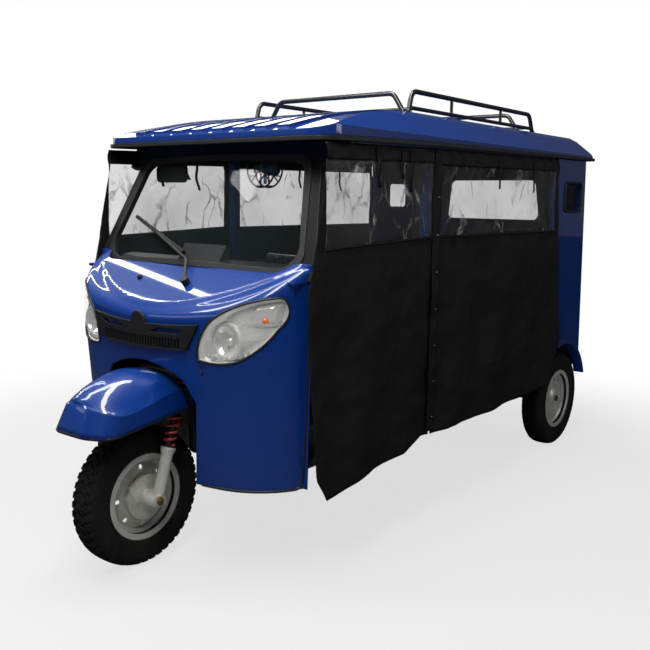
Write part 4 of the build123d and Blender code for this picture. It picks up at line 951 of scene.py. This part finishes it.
lamp = {
    "outline": (
        # corner, and the place that the arc to the next corner passes
        ((0.284, 0.828), (0.296, 0.904)), ((0.333, 0.966), (0.436, 1.032)),
        ((0.556, 1.064), (0.567, 1.010)),
        ((0.546, 0.950), (0.503, 0.882)), ((0.436, 0.831), (0.360, 0.820)),
    ),
    "arcSteps": 18,
    "reflector": (0.382, 0.898),
    "collarDepth": -1.190,
    "collar": (
        # radius, depth behind the collar's face
        (0.071, 0.010), (0.068, 0.000), (0.060, 0.000), (0.057, 0.006), (0.048, 0.017), (0.034, 0.027),
        (0.018, 0.033), (0.013, 0.030), (0.013, 0.014), (0.009, 0.009), (0.003, 0.007),
    ),
    "rim": ((0.985, 0.005), (0.970, 0.012), (0.930, 0.030), (0.880, 0.036)),
    "indicator": ((0.452, 0.948), (0.541, 0.962), (0.549, 1.046), (0.478, 1.032)),
    "bulb": ((0.508, 0.980), 0.011),
    "facets": (8, 5),
    "squares": ((0.318, 0.843), (0.470, 0.862)),
    "squareCount": 9,
    "squareHalf": 0.006,
    "squareDepths": (0.036, 0.012),
    "bowlThick": 0.0015,
    "indicatorThick": 0.003,
    "gasket": 0.0042,
    "lensBulge": 0.004,
    "lensRings": (1.0, 0.985, 0.95, 0.88, 0.78, 0.66, 0.52, 0.36, 0.18, 0.04),
}


def lampOutline():
    corners = lamp["outline"]
    points = []
    for k, (corner, via) in enumerate(corners):
        points += arcPoints(corner, via, corners[(k + 1) % len(corners)][0], lamp["arcSteps"])
    return points


def makeHeadlamp(way):
    side = "Left" if way > 0 else "Right"
    edge = lampOutline()
    cx, cz = lamp["reflector"]
    rows = []
    for share, depth in lamp["rim"]:
        row = []
        for x, z in edge:
            px, pz = cx + (x - cx) * share, cz + (z - cz) * share
            facet = 0.0035 * abs(sin(9 * atan2(z - cz, x - cx))) if share < 0.95 else 0
            row.append(Vector((px, shellDepth(px, pz) + depth - facet, pz)))
        rows.append(row)
    for radius, depth in lamp["collar"]:
        row = []
        for x, z in edge:
            turn = atan2(z - cz, x - cx)
            y = lamp["collarDepth"] + depth
            row.append(Vector((cx + radius * cos(turn), y, cz + radius * sin(turn))))
        rows.append(row)
    verts = [v for row in rows for v in row]
    faces = gridFaces(len(rows), len(edge), closeColumns=True)
    faces.append(tuple((len(rows) - 1) * len(edge) + k for k in range(len(edge))))
    (ax, az), (bx, bz) = lamp["squares"]
    blocks, blockFaces = [], []
    for k in range(lamp["squareCount"]):
        t = k / (lamp["squareCount"] - 1)
        x, z = ax + (bx - ax) * t, az + (bz - az) * t - 0.010 * sin(pi * t)
        y = shellDepth(x, z)
        r = lamp["squareHalf"]
        square = ((-r, -r), (r, -r), (r, r), (-r, r))
        corners = [(x + dx, y + dy, z + dz) for dy in lamp["squareDepths"] for dx, dz in square]
        addBlock(blocks, blockFaces, corners)
    verts, faces = joinPieces(((verts, faces), (blocks, blockFaces)))
    columns, bands = lamp["facets"]
    (p, q, r, s) = lamp["indicator"]
    amber = []
    for i in range(bands + 1):
        for j in range(columns + 1):
            u, v = j / columns, i / bands
            x = (p[0] * (1 - u) + q[0] * u) * (1 - v) + (s[0] * (1 - u) + r[0] * u) * v
            z = (p[1] * (1 - u) + q[1] * u) * (1 - v) + (s[1] * (1 - u) + r[1] * u) * v
            border = i in (0, bands) or j in (0, columns)
            depth = 0.026 if border else 0.012 + 0.006 * ((i + j) % 2)
            amber.append(Vector((x, shellDepth(x, z) + depth, z)))
    amberFaces = gridFaces(bands + 1, columns + 1)

    def handed(points, quads):
        if way > 0:
            return points, quads
        return [Vector((-v[0], v[1], v[2])) for v in points], [face[::-1] for face in quads]

    verts = [Vector(v) for v in verts]
    bowl = makePiece(f"headlampBowl{side}", *handed(verts, faces), "lampChrome", sharp=28)
    indicator = makePiece(f"headlampIndicator{side}", *handed(amber, amberFaces), "lampChrome", sharp=4)
    (bulbX, bulbZ), bulbRadius = lamp["bulb"]
    seat = Vector((way * bulbX, shellDepth(bulbX, bulbZ) + 0.022, bulbZ))
    dome = [(bulbRadius * cos(k * pi / 14), 0.006 + bulbRadius * sin(k * pi / 14)) for k in range(7)]
    form = lathe(seat, (0, -1, 0), [(bulbRadius, -0.004)] + dome)
    bulb = makePiece(f"indicatorBulb{side}", *form, "indicatorAmber", sharp=50)
    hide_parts("headlamp_bowls")
    for piece, thick in ((bowl, lamp["bowlThick"]), (indicator, lamp["indicatorThick"])):
        thicken(piece, thick, -1)
        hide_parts("headlamp_bowls")
    rows = []
    for share in lamp["lensRings"]:
        out = lamp["lensBulge"] * (1 - share**6)
        rows += [onShell(way * (cx + (x - cx) * share), cz + (z - cz) * share, out) for x, z in edge]
    lensFaces = gridFaces(len(lamp["lensRings"]), len(edge), closeColumns=True)
    lensFaces.append(tuple((len(lamp["lensRings"]) - 1) * len(edge) + k for k in range(len(edge))))
    if way < 0:
        lensFaces = [face[::-1] for face in lensFaces]
    lens = makePiece(f"headlampLens{side}", rows, lensFaces, "lampGlass", sharp=60)
    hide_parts("headlamp_lenses")
    ring = [onShell(way * x, z, 0.0015) for x, z in edge[::2]]
    makeTube(f"headlampGasket{side}", ring, lamp["gasket"], "sealRubber", closed=True)


makeShellSkin(shell)
makeShellDetails(shell)
for way in (-1, 1):
    makeHeadlamp(way)
print("front shell and headlamps made")

# Mudguard: crowned top with a raised front step, upright apron, and a rubber bead along the hem

guard = {
    "stations": (
        # hem, apron's top, crease and crown, from the left rear corner round to the nose
        ((0.150, -1.160, 0.612), (0.150, -1.190, 0.692), (0.118, -1.213, 0.728), (0, -1.236, 0.757)),
        ((0.150, -1.250, 0.600), (0.150, -1.260, 0.683), (0.118, -1.275, 0.735), (0, -1.290, 0.766)),
        ((0.150, -1.340, 0.587), (0.150, -1.350, 0.660), (0.120, -1.355, 0.707), (0, -1.360, 0.771)),
        ((0.150, -1.420, 0.577), (0.150, -1.420, 0.644), (0.121, -1.425, 0.682), (0, -1.425, 0.757)),
        ((0.150, -1.480, 0.568), (0.147, -1.468, 0.640), (0.122, -1.475, 0.663), (0, -1.475, 0.738)),
        ((0.146, -1.522, 0.566), (0.134, -1.503, 0.646), (0.119, -1.500, 0.656), (0, -1.508, 0.722)),
        ((0.129, -1.557, 0.568), (0.110, -1.526, 0.656), (0.100, -1.520, 0.664), (0, -1.530, 0.708)),
        ((0.082, -1.591, 0.571), (0.068, -1.553, 0.666), (0.062, -1.546, 0.673), (0, -1.545, 0.698)),
        ((0.040, -1.599, 0.573), (0.032, -1.5615, 0.669), (0.030, -1.555, 0.676), (0, -1.553, 0.692)),
        ((0.000, -1.6015, 0.574), (0.000, -1.564, 0.670), (0.000, -1.558, 0.677), (0, -1.556, 0.688)),
    ),
    "between": 6,
    "apronRows": 5,
    "shoulderRows": 3,
    "crownRows": 10,
    "wall": 0.004,
    "bead": 0.0065,
    "beadInside": 0.006,
}


def throughPoints(points, share):
    # smooth curve through evenly spaced points, share from 0 to the last one's number
    k = min(int(share), len(points) - 2)
    t = share - k
    before, after = points[max(k - 1, 0)], points[min(k + 2, len(points) - 1)]
    a, b = points[k], points[k + 1]
    tangentA, tangentB = (b - before) / 2, (after - a) / 2
    h = t * t * (3 - 2 * t)
    return a * (1 - h) + b * h + tangentA * (t * (1 - t) ** 2) - tangentB * (t * t * (1 - t))


def makeGuard(spec):
    half = [[Vector(p) for p in station] for station in spec["stations"]]
    whole = half + [[Vector((-p.x, p.y, p.z)) for p in station] for station in reversed(half[:-1])]
    count = (len(whole) - 1) * spec["between"]
    lines = []
    for k in range(4):
        points = [station[k] for station in whole]
        lines.append([throughPoints(points, i / spec["between"]) for i in range(count + 1)])
    verts = []
    for i in range(count + 1):
        hem, apron, crease, crown = (lines[k][i] for k in range(4))
        section = [hem.lerp(apron, k / spec["apronRows"]) for k in range(spec["apronRows"])]
        section += [apron.lerp(crease, k / spec["shoulderRows"]) for k in range(spec["shoulderRows"])]
        for k in range(spec["crownRows"] + 1):
            t = 0.985 * k / spec["crownRows"]
            at = crease.lerp(crown, t)
            at.z = crease.z + (crown.z - crease.z) * (1 - (1 - t) ** 2)
            section.append(at)
        verts += section
    columns = len(verts) // (count + 1)
    top = makePiece("mudguardTop", verts, gridFaces(count + 1, columns), "bluePaint", "fork", sharp=24)
    bm = bmesh.new()
    bm.from_mesh(top.data)
    # close the narrow slot left along the crown's middle line
    last = [i * columns + columns - 1 for i in range(count + 1)]
    bm.verts.ensure_lookup_table()
    for i in range(count // 2):
        quad = [last[i], last[i + 1], last[count - i - 1], last[count - i]]
        corners = list(dict.fromkeys(bm.verts[k] for k in quad))
        if len(corners) > 2:
            bm.faces.new(corners)
    bmesh.ops.remove_doubles(bm, verts=bm.verts[:], dist=0.0003)
    bmesh.ops.recalc_face_normals(bm, faces=bm.faces[:])
    bm.to_mesh(top.data)
    bm.free()
    top.data.polygons.foreach_set("use_smooth", [True] * len(top.data.polygons))
    top.data.set_sharp_from_angle(angle=radians(24))
    thicken(top, spec["wall"], -1)
    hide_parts("front_mudguard")
    bead = []
    for p in lines[0][:: 3]:
        inward = Vector((0, -1.40, 0)) - p if p.y < -1.49 else Vector((-p.x, 0, 0))
        inward.z = 0
        bead.append(p + inward.normalized() * spec["beadInside"])
    makeTube("mudguardBead", bead, spec["bead"], "sealRubber", "fork")


makeGuard(guard)
print("mudguard made")

# Rubber on the shell's lower and rear edges, gaskets round the fixed panes, tail lamp fittings

trim = {
    "hem": 0.0055,
    "hemEnd": 0.262,  # where the hem's rubber stops beside the wheel opening
    "edgeTop": 1.090,
    "porthole": (1.367, 1.437, 0.232, 0.160, 0.034),  # along, up, width, height, corner
    "portholeX": 0.602,
    "rearWindow": ((-0.328, 1.290), (0.328, 1.290), (0.296, 1.545), (-0.296, 1.545)),
    "rearCorner": 0.045,
    "gasket": 0.0075,
    "tail": (0.490, 0.096, 0.700, 0.920),  # middle, width, low, top
    "tailBands": (0.768, 0.852),
    "bandHalf": 0.004,
    "bandProud": 0.0008,
    "bandDeep": 0.012,
}


def roundedLoop(corners, radius, steps=6):
    # closed outline in a plane with its corners rounded
    points = []
    for k, at in enumerate(corners):
        a, p, b = Vector(corners[k - 1]), Vector(at), Vector(corners[(k + 1) % len(corners)])
        first, last = p + (a - p).normalized() * radius, p + (b - p).normalized() * radius
        for n in range(steps + 1):
            t = n / steps
            points.append(first * (1 - t) ** 2 + p * (2 * t * (1 - t)) + last * t * t)
    return points


def faceAt(node, x, z):
    # the rearmost place of a node on the line through x and z
    return nodes[node].ray_cast(Vector((x, 2.2, z)), Vector((0, -1, 0)))[1].y


def cornerArc(z, share):
    # along the shell's corner at a height, from its rear edge to where the nose begins
    turn, middle = nosePlan(z)[2:]
    start = asin((middle - shell["back"]) / turn)
    angle = start + (pi / 2 - noseTilt - start) * share
    return shell["corner"] + turn * (cos(angle) - sin(noseTilt)), middle - turn * sin(angle)


def makeTrim(spec):
    for way in (-1, 1):
        side = "Left" if way > 0 else "Right"
        low = shell["low"] + spec["hem"] * 0.4
        line = []
        for k in range(14):
            z = spec["edgeTop"] + (low + 0.045 - spec["edgeTop"]) * k / 13
            line.append(Vector((way * cornerArc(z, 0.0)[0], shell["back"] - 0.001, z)))
        x, y = cornerArc(low, 0.03)
        line.append(Vector((way * x, y, low + 0.012)))
        for k in range(1, 15):
            x, y = cornerArc(low, k / 14)
            line.append(Vector((way * x, y, low)))
        for k in range(1, 5):
            x = shell["corner"] + (spec["hemEnd"] - shell["corner"]) * k / 4
            line.append(Vector((way * x, shellDepth(x, low), low)))
        makeTube(f"shellEdgeRubber{side}", line, spec["hem"], "sealRubber")
        y, z, width, height, corner = spec["porthole"]
        ways = ((-1, -1), (1, -1), (1, 1), (-1, 1))
        loop = roundedLoop([(y + a * width / 2, z + b * height / 2) for a, b in ways], corner)
        points = [Vector((way * spec["portholeX"], p[0], p[1])) for p in loop]
        makeTube(f"portholeGasket{side}", points, spec["gasket"], "sealRubber", closed=True)
        middleX, width, low, top = spec["tail"]
        face = faceAt("tail_lamps", way * middleX, (low + top) / 2)
        bands = []
        for z in spec["tailBands"]:
            verts, faces = [], []
            left, right = way * middleX - width / 2, way * middleX + width / 2
            back, front = face + spec["bandProud"], face - spec["bandDeep"]
            plan = ((left, back), (right, back), (right, front), (left, front))
            corners = [(x, y, z + c) for c in (-spec["bandHalf"], spec["bandHalf"]) for x, y in plan]
            addBlock(verts, faces, corners)
            bands.append((verts, faces))
        makePiece(f"tailLampBands{side}", *joinPieces(bands), "darkPlastic")
    loop = roundedLoop(spec["rearWindow"], spec["rearCorner"])
    middle = sum((Vector(p) for p in spec["rearWindow"]), Vector((0, 0))) / 4
    points = []
    for p in loop:
        out = p + (p - middle).normalized() * 0.012
        points.append(Vector((p[0], faceAt("rear_wall", out[0], out[1]) + 0.001, p[1])))
    makeTube("rearWindowGasket", points, spec["gasket"], "sealRubber", closed=True)


makeTrim(trim)
print("edges trimmed")

# Curtains: hung cloth with clear panes

curtain = {
    "x": 0.6125,
    "front": {
        # edges as height and place along, hem and top as place along and height
        "frontEdge": (
            (1.610, -0.908), (1.232, -0.985), (1.058, -1.030), (0.693, -1.014), (0.388, -0.997),
            (0.299, -0.942),
        ),
        "rearEdge": ((1.628, -0.184), (0.384, -0.184)),
        "hem": (
            (-1.03, 0.299), (-0.942, 0.299), (-0.755, 0.324), (-0.401, 0.348), (-0.245, 0.390),
            (-0.184, 0.384),
        ),
        "top": ((-1.03, 1.608), (-0.908, 1.610), (-0.184, 1.628)),
        "pane": (-0.930, -0.206, 1.226, 1.254, 1.548, 1.564),
        "columns": (6, 52, 5),
        "flare": 0.022,
    },
    "rear": {
        "frontEdge": ((1.628, -0.176), (0.384, -0.176)),
        "rearEdge": ((1.640, 1.104), (0.640, 1.196), (0.580, 1.160), (0.396, 1.036)),
        "hem": ((-0.176, 0.384), (0.491, 0.382), (1.036, 0.396), (1.160, 0.580), (1.196, 0.640)),
        "top": ((-0.176, 1.628), (1.104, 1.640), (1.2, 1.641)),
        "pane": (-0.150, 1.078, 1.252, 1.252, 1.556, 1.572),
        "columns": (5, 84, 8),
        "flare": 0.02,
    },
    "rows": (64, 24, 7),  # below, along and above the pane
    "clothThick": 0.0012,
    "paneThick": 0.0006,
    "folds": 0.0125,  # how far each kind of fold stands out
    "slant": 0.010,
    "crumple": 0.0085,
    "fineFolds": 0.0022,
    "puckers": 0.009,
    "paneCreases": 0.010,
}


def clothBulge(part, y, z, flare, side):
    # how far the cloth hangs out from the body: folds that grow towards the hem
    free = ease((1.56 - z) / 1.1)
    folds = 0.5 + 0.5 * sin(y * 17 + 1.4 * sin(z * 3.1 + side) + 0.6 * side)
    slant = 0.5 + 0.5 * sin((y * 6.5 - z * 4.2) + 2.1 * side)
    crumple = noise.fractal(Vector((y * 3.1, z * 4.0, 2.7 * side + len(part))), 0.8, 2.1, 4)
    fine = noise.noise(Vector((y * 16, z * 9, 5.1 * side)))
    band = ease((z - 1.54) / 0.03)  # the header gathers in short puckers
    pucker = 0.5 + 0.5 * sin(y * 38 + 3 * sin(y * 7))
    inPane = ease((z - 1.22) / 0.04) * (1 - ease((z - 1.55) / 0.03))  # clear sheet creases sharply
    crease = abs(noise.noise(Vector((y * 9.0 + z * 3.0, z * 2.2, 7.3 * side))))
    crease += 0.6 * abs(noise.noise(Vector((y * 21, z * 7.5, 1.9 * side))))
    if part == "front":
        lean = flare * ease((0.9 - z) / 0.7) * ease((-0.35 - y) / 0.6)
    else:
        lean = flare * ease((0.8 - z) / 0.5) * 0.5
    wide = curtain["folds"] * folds * free + curtain["slant"] * slant * free
    wide += curtain["crumple"] * (crumple + 0.5) * (0.35 + 0.65 * free)
    wide += curtain["fineFolds"] * fine
    wide += curtain["puckers"] * band * pucker
    wide += curtain["paneCreases"] * inPane * crease
    return wide + lean


def makeCurtain(part, way):
    spec = curtain[part]
    paneFront, paneRear, lowFront, lowRear, topFront, topRear = spec["pane"]
    left, middle, right = spec["columns"]
    below, along, above = curtain["rows"]
    columns, rows = left + middle + right + 1, below + along + above + 1
    side = "Left" if way > 0 else "Right"
    grid, flatGrid = [], []
    for i in range(rows):
        for j in range(columns):
            def across(z):
                if j <= left:
                    a, b, t = alongLine(spec["frontEdge"], z), paneFront, j / left
                elif j <= left + middle:
                    a, b, t = paneFront, paneRear, (j - left) / middle
                else:
                    a, b, t = paneRear, alongLine(spec["rearEdge"], z), (j - left - middle) / right
                return a + (b - a) * t

            y = across(1.2)
            for step in range(3):  # edges and pane lean, so the place settles in a few steps
                share = (y - paneFront) / (paneRear - paneFront)
                low = lowFront + (lowRear - lowFront) * share
                high = topFront + (topRear - topFront) * share
                if i <= below:
                    a, b, t = alongLine(spec["hem"], y), low, i / below
                elif i <= below + along:
                    a, b, t = low, high, (i - below) / along
                else:
                    a, b, t = high, alongLine(spec["top"], y), (i - below - along) / above
                z = a + (b - a) * t
                y = across(z)
            held = 1 - ease((i - (rows - 4)) / 3)
            bulge = clothBulge(part, y, z, spec["flare"], way) * held
            grid.append(Vector((way * (curtain["x"] + bulge), y, z)))
            flatGrid.append((y, z))
    clothFaces, paneFaces = [], []
    for i in range(rows - 1):
        for j in range(columns - 1):
            quad = (i * columns + j, i * columns + j + 1, (i + 1) * columns + j + 1, (i + 1) * columns + j)
            if way < 0:
                quad = quad[::-1]
            inPane = left <= j < left + middle and below <= i < below + along
            (paneFaces if inPane else clothFaces).append(quad)

    def sheetPiece(name, faces, material, thick):
        used = sorted({k for face in faces for k in face})
        index = {k: n for n, k in enumerate(used)}
        quads = [tuple(index[k] for k in face) for face in faces]
        piece = makePiece(name, [grid[k] for k in used], quads, material, sharp=80)
        thicken(piece, thick, 1)
        return piece

    cloth = sheetPiece(f"{part}CurtainCloth{side}", clothFaces, "curtainCloth", curtain["clothThick"])
    pane = sheetPiece(f"{part}CurtainPane{side}", paneFaces, "clearSheet", curtain["paneThick"])
    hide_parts(f"curtain_{side.lower()}")
    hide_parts("curtain_panes")


for part in ("front", "rear"):
    for way in (-1, 1):
        makeCurtain(part, way)


# Sewn on the curtains: a binding below the panes, the overlap's flap with its snaps, and tie straps

sewn = {
    "binding": 0.012,
    "lift": 0.0022,
    "flap": (-0.206, -0.150, 0.400, 1.612),  # front, rear, low, top
    "flapColumns": 8,
    "flapRows": 90,
    "snaps": (0.46, 0.62, 0.78, 0.94, 1.10, 1.26, 1.42),
    "snapRadius": 0.007,
    # place along, length
    "straps": ((-0.620, 0.150), (-0.452, 0.115), (-0.385, 0.165), (0.400, 0.140), (0.780, 0.150)),
    "strapWidth": 0.016,
    "strapTop": 1.606,
    "strapThick": 0.0018,
    "thick": 0.0016,
    "flapLift": 0.004,
    "snapLift": 0.006,
    "snapInside": 0.014,
    "snapForm": ((1, -0.004), (1, 0.001), (0.8, 0.003), (0.35, 0.0038), (0.3, 0.003)),  # share of radius, height
}


def clothFace(part, y, z, way, lift):
    spec = curtain[part]
    held = 1 - ease((z - alongLine(spec["top"], y) + 0.030) / 0.030)
    bulge = clothBulge(part, y, z, spec["flare"], way) * held
    return Vector((way * (curtain["x"] + bulge + curtain["clothThick"] + lift), y, z))


def ribbon(points, across, width):
    # band along points on the cloth, its thickness comes later
    verts = []
    for point in points:
        verts += [point - across * width / 2, point + across * width / 2]
    faces = [(2 * k, 2 * k + 1, 2 * k + 3, 2 * k + 2) for k in range(len(points) - 1)]
    return verts, faces


def outerCloth(y, z, way, lift):
    return max((clothFace(part, y, z, way, lift) for part in ("front", "rear")), key=lambda v: abs(v.x))


def makeSewn(way):
    side = "Left" if way > 0 else "Right"
    bands = []
    for part in ("front", "rear"):
        first, last, lowFront, lowRear = curtain[part]["pane"][:4]
        line = []
        for k in range(61):
            y = first + (last - first) * k / 60
            z = lowFront + (lowRear - lowFront) * (y - first) / (last - first)
            line.append(clothFace(part, y, z, way, sewn["lift"]))
        bands.append(ribbon(line, Vector((0, 0, 1)), sewn["binding"]))
    binding = makePiece(f"paneBinding{side}", *joinPieces(bands), "curtainCloth", sharp=60)
    thicken(binding, sewn["thick"])
    front, rear, low, top = sewn["flap"]
    columns, rows = sewn["flapColumns"], sewn["flapRows"]
    verts = []
    for i in range(rows + 1):
        z = low + (top - low) * i / rows
        for j in range(columns + 1):
            y = front + (rear - front) * j / columns
            near = outerCloth(y, z, way, sewn["flapLift"])
            pinched = 0.5 + 0.5 * cos(2 * pi * (z - sewn["snaps"][0]) / 0.16)
            verts.append(near + Vector((way * sewn["flapLift"] * (1 - pinched) * j / columns, 0, 0)))
    faces = gridFaces(rows + 1, columns + 1)
    flap = makePiece(f"curtainFlap{side}", verts, faces, "curtainCloth", sharp=60)
    thicken(flap, sewn["thick"])
    snaps = []
    for z in sewn["snaps"]:
        at = outerCloth(rear - sewn["snapInside"], z, way, sewn["snapLift"])
        profile = [(sewn["snapRadius"] * share, height) for share, height in sewn["snapForm"]]
        snaps.append(lathe(at, (way, 0, 0), profile, 14))
    makePiece(f"curtainSnaps{side}", *joinPieces(snaps), "blackPaint", sharp=40)
    straps = []
    for y, length in sewn["straps"]:
        part = "front" if y < -0.18 else "rear"
        line = []
        for k in range(17):
            z = sewn["strapTop"] - length * k / 16
            sway, lift = 0.010 * sin(k * 0.5) * k / 16, 0.004 + 0.006 * sin(k * 0.2)
            line.append(clothFace(part, y + sway, z, way, lift))
        straps.append(ribbon(line, Vector((0, 1, 0)), sewn["strapWidth"]))
    strap = makePiece(f"curtainStraps{side}", *joinPieces(straps), "curtainCloth", sharp=60)
    thicken(strap, sewn["strapThick"])


for way in (-1, 1):
    makeSewn(way)
print("curtains hung")

# Seats: padded cushions and backs

seats = {
    "cushions": (
        # node, fill, sewn channels along the width
        ("driver_seat", 0.7, 5), ("driver_backrest", 0.7, 5), ("front_bench", 0.7, 7),
        ("front_bench_back", 0.7, 7), ("rear_bench", 0.7, 7), ("rear_bench_back", 0.7, 7),
    ),
    "shrink": 0.008,
    "voxel": 0.010,
    "pressure": 4.0,
    "frames": 14,
    "swell": 0.010,
    "channelDepth": 0.006,
    "channelHalf": 0.012,
    "rounding": 0.022,
}


def makeCushion(node, channels):
    low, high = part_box(node)
    name = "".join(w.capitalize() if i else w for i, w in enumerate(node.split("_"))) + "Pad"
    bm = bmesh.new()
    bmesh.ops.create_cube(bm, size=1)
    size = high - low
    for v in bm.verts:
        v.co = Vector((v.co[k] * (size[k] - 2 * seats["shrink"]) + (low[k] + high[k]) / 2 for k in range(3)))
    bmesh.ops.bevel(bm, geom=bm.edges[:], offset=seats["rounding"], segments=3, affect="EDGES", profile=0.5)
    mesh = bpy.data.meshes.new(name)
    bm.to_mesh(mesh)
    bm.free()
    piece = bpy.data.objects.new(name, mesh)
    scene.collection.objects.link(piece)
    remesh = piece.modifiers.new("even", "REMESH")
    remesh.mode = "VOXEL"
    remesh.voxel_size = seats["voxel"]
    applyModifiers(piece)
    start = [v.co.copy() for v in piece.data.vertices]
    cloth = piece.modifiers.new("stuffing", "CLOTH")
    cloth.settings.use_pressure = True
    cloth.settings.uniform_pressure_force = seats["pressure"]
    cloth.settings.effector_weights.gravity = 0
    cloth.point_cache.frame_start = 1
    cloth.point_cache.frame_end = seats["frames"]
    for f in range(1, seats["frames"] + 1):
        scene.frame_set(f)
    applyModifiers(piece)
    scene.frame_set(1)
    # cap the swell, keep inside the CAD solid, then press the sewn channels in
    lying = size.z < size.y
    for v, was in zip(piece.data.vertices, start):
        move = v.co - was
        if move.length > seats["swell"]:
            v.co = was + move * (seats["swell"] / move.length)
        share = (v.co.x - low.x) / size.x * channels
        groove = max(0.0, 1 - abs(share - round(share)) / channels * size.x / seats["channelHalf"])
        crown = v.co.z - (low.z + high.z) / 2 if lying else (low.y + high.y) / 2 - v.co.y
        if crown > 0 and 0.2 < share < channels - 0.2:
            push = seats["channelDepth"] * groove * ease(crown / 0.02)
            v.co.z -= push if lying else 0
            v.co.y += 0 if lying else push
        for k in range(3):
            v.co[k] = min(max(v.co[k], low[k]), high[k])
    mesh = piece.data
    mesh.polygons.foreach_set("use_smooth", [True] * len(mesh.polygons))
    mesh.materials.clear()
    mesh.materials.append(finish["seatVinyl"])
    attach(piece, "chassis")
    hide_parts(node)


for node, fill, channels in seats["cushions"]:
    makeCushion(node, channels)
print("seats padded")
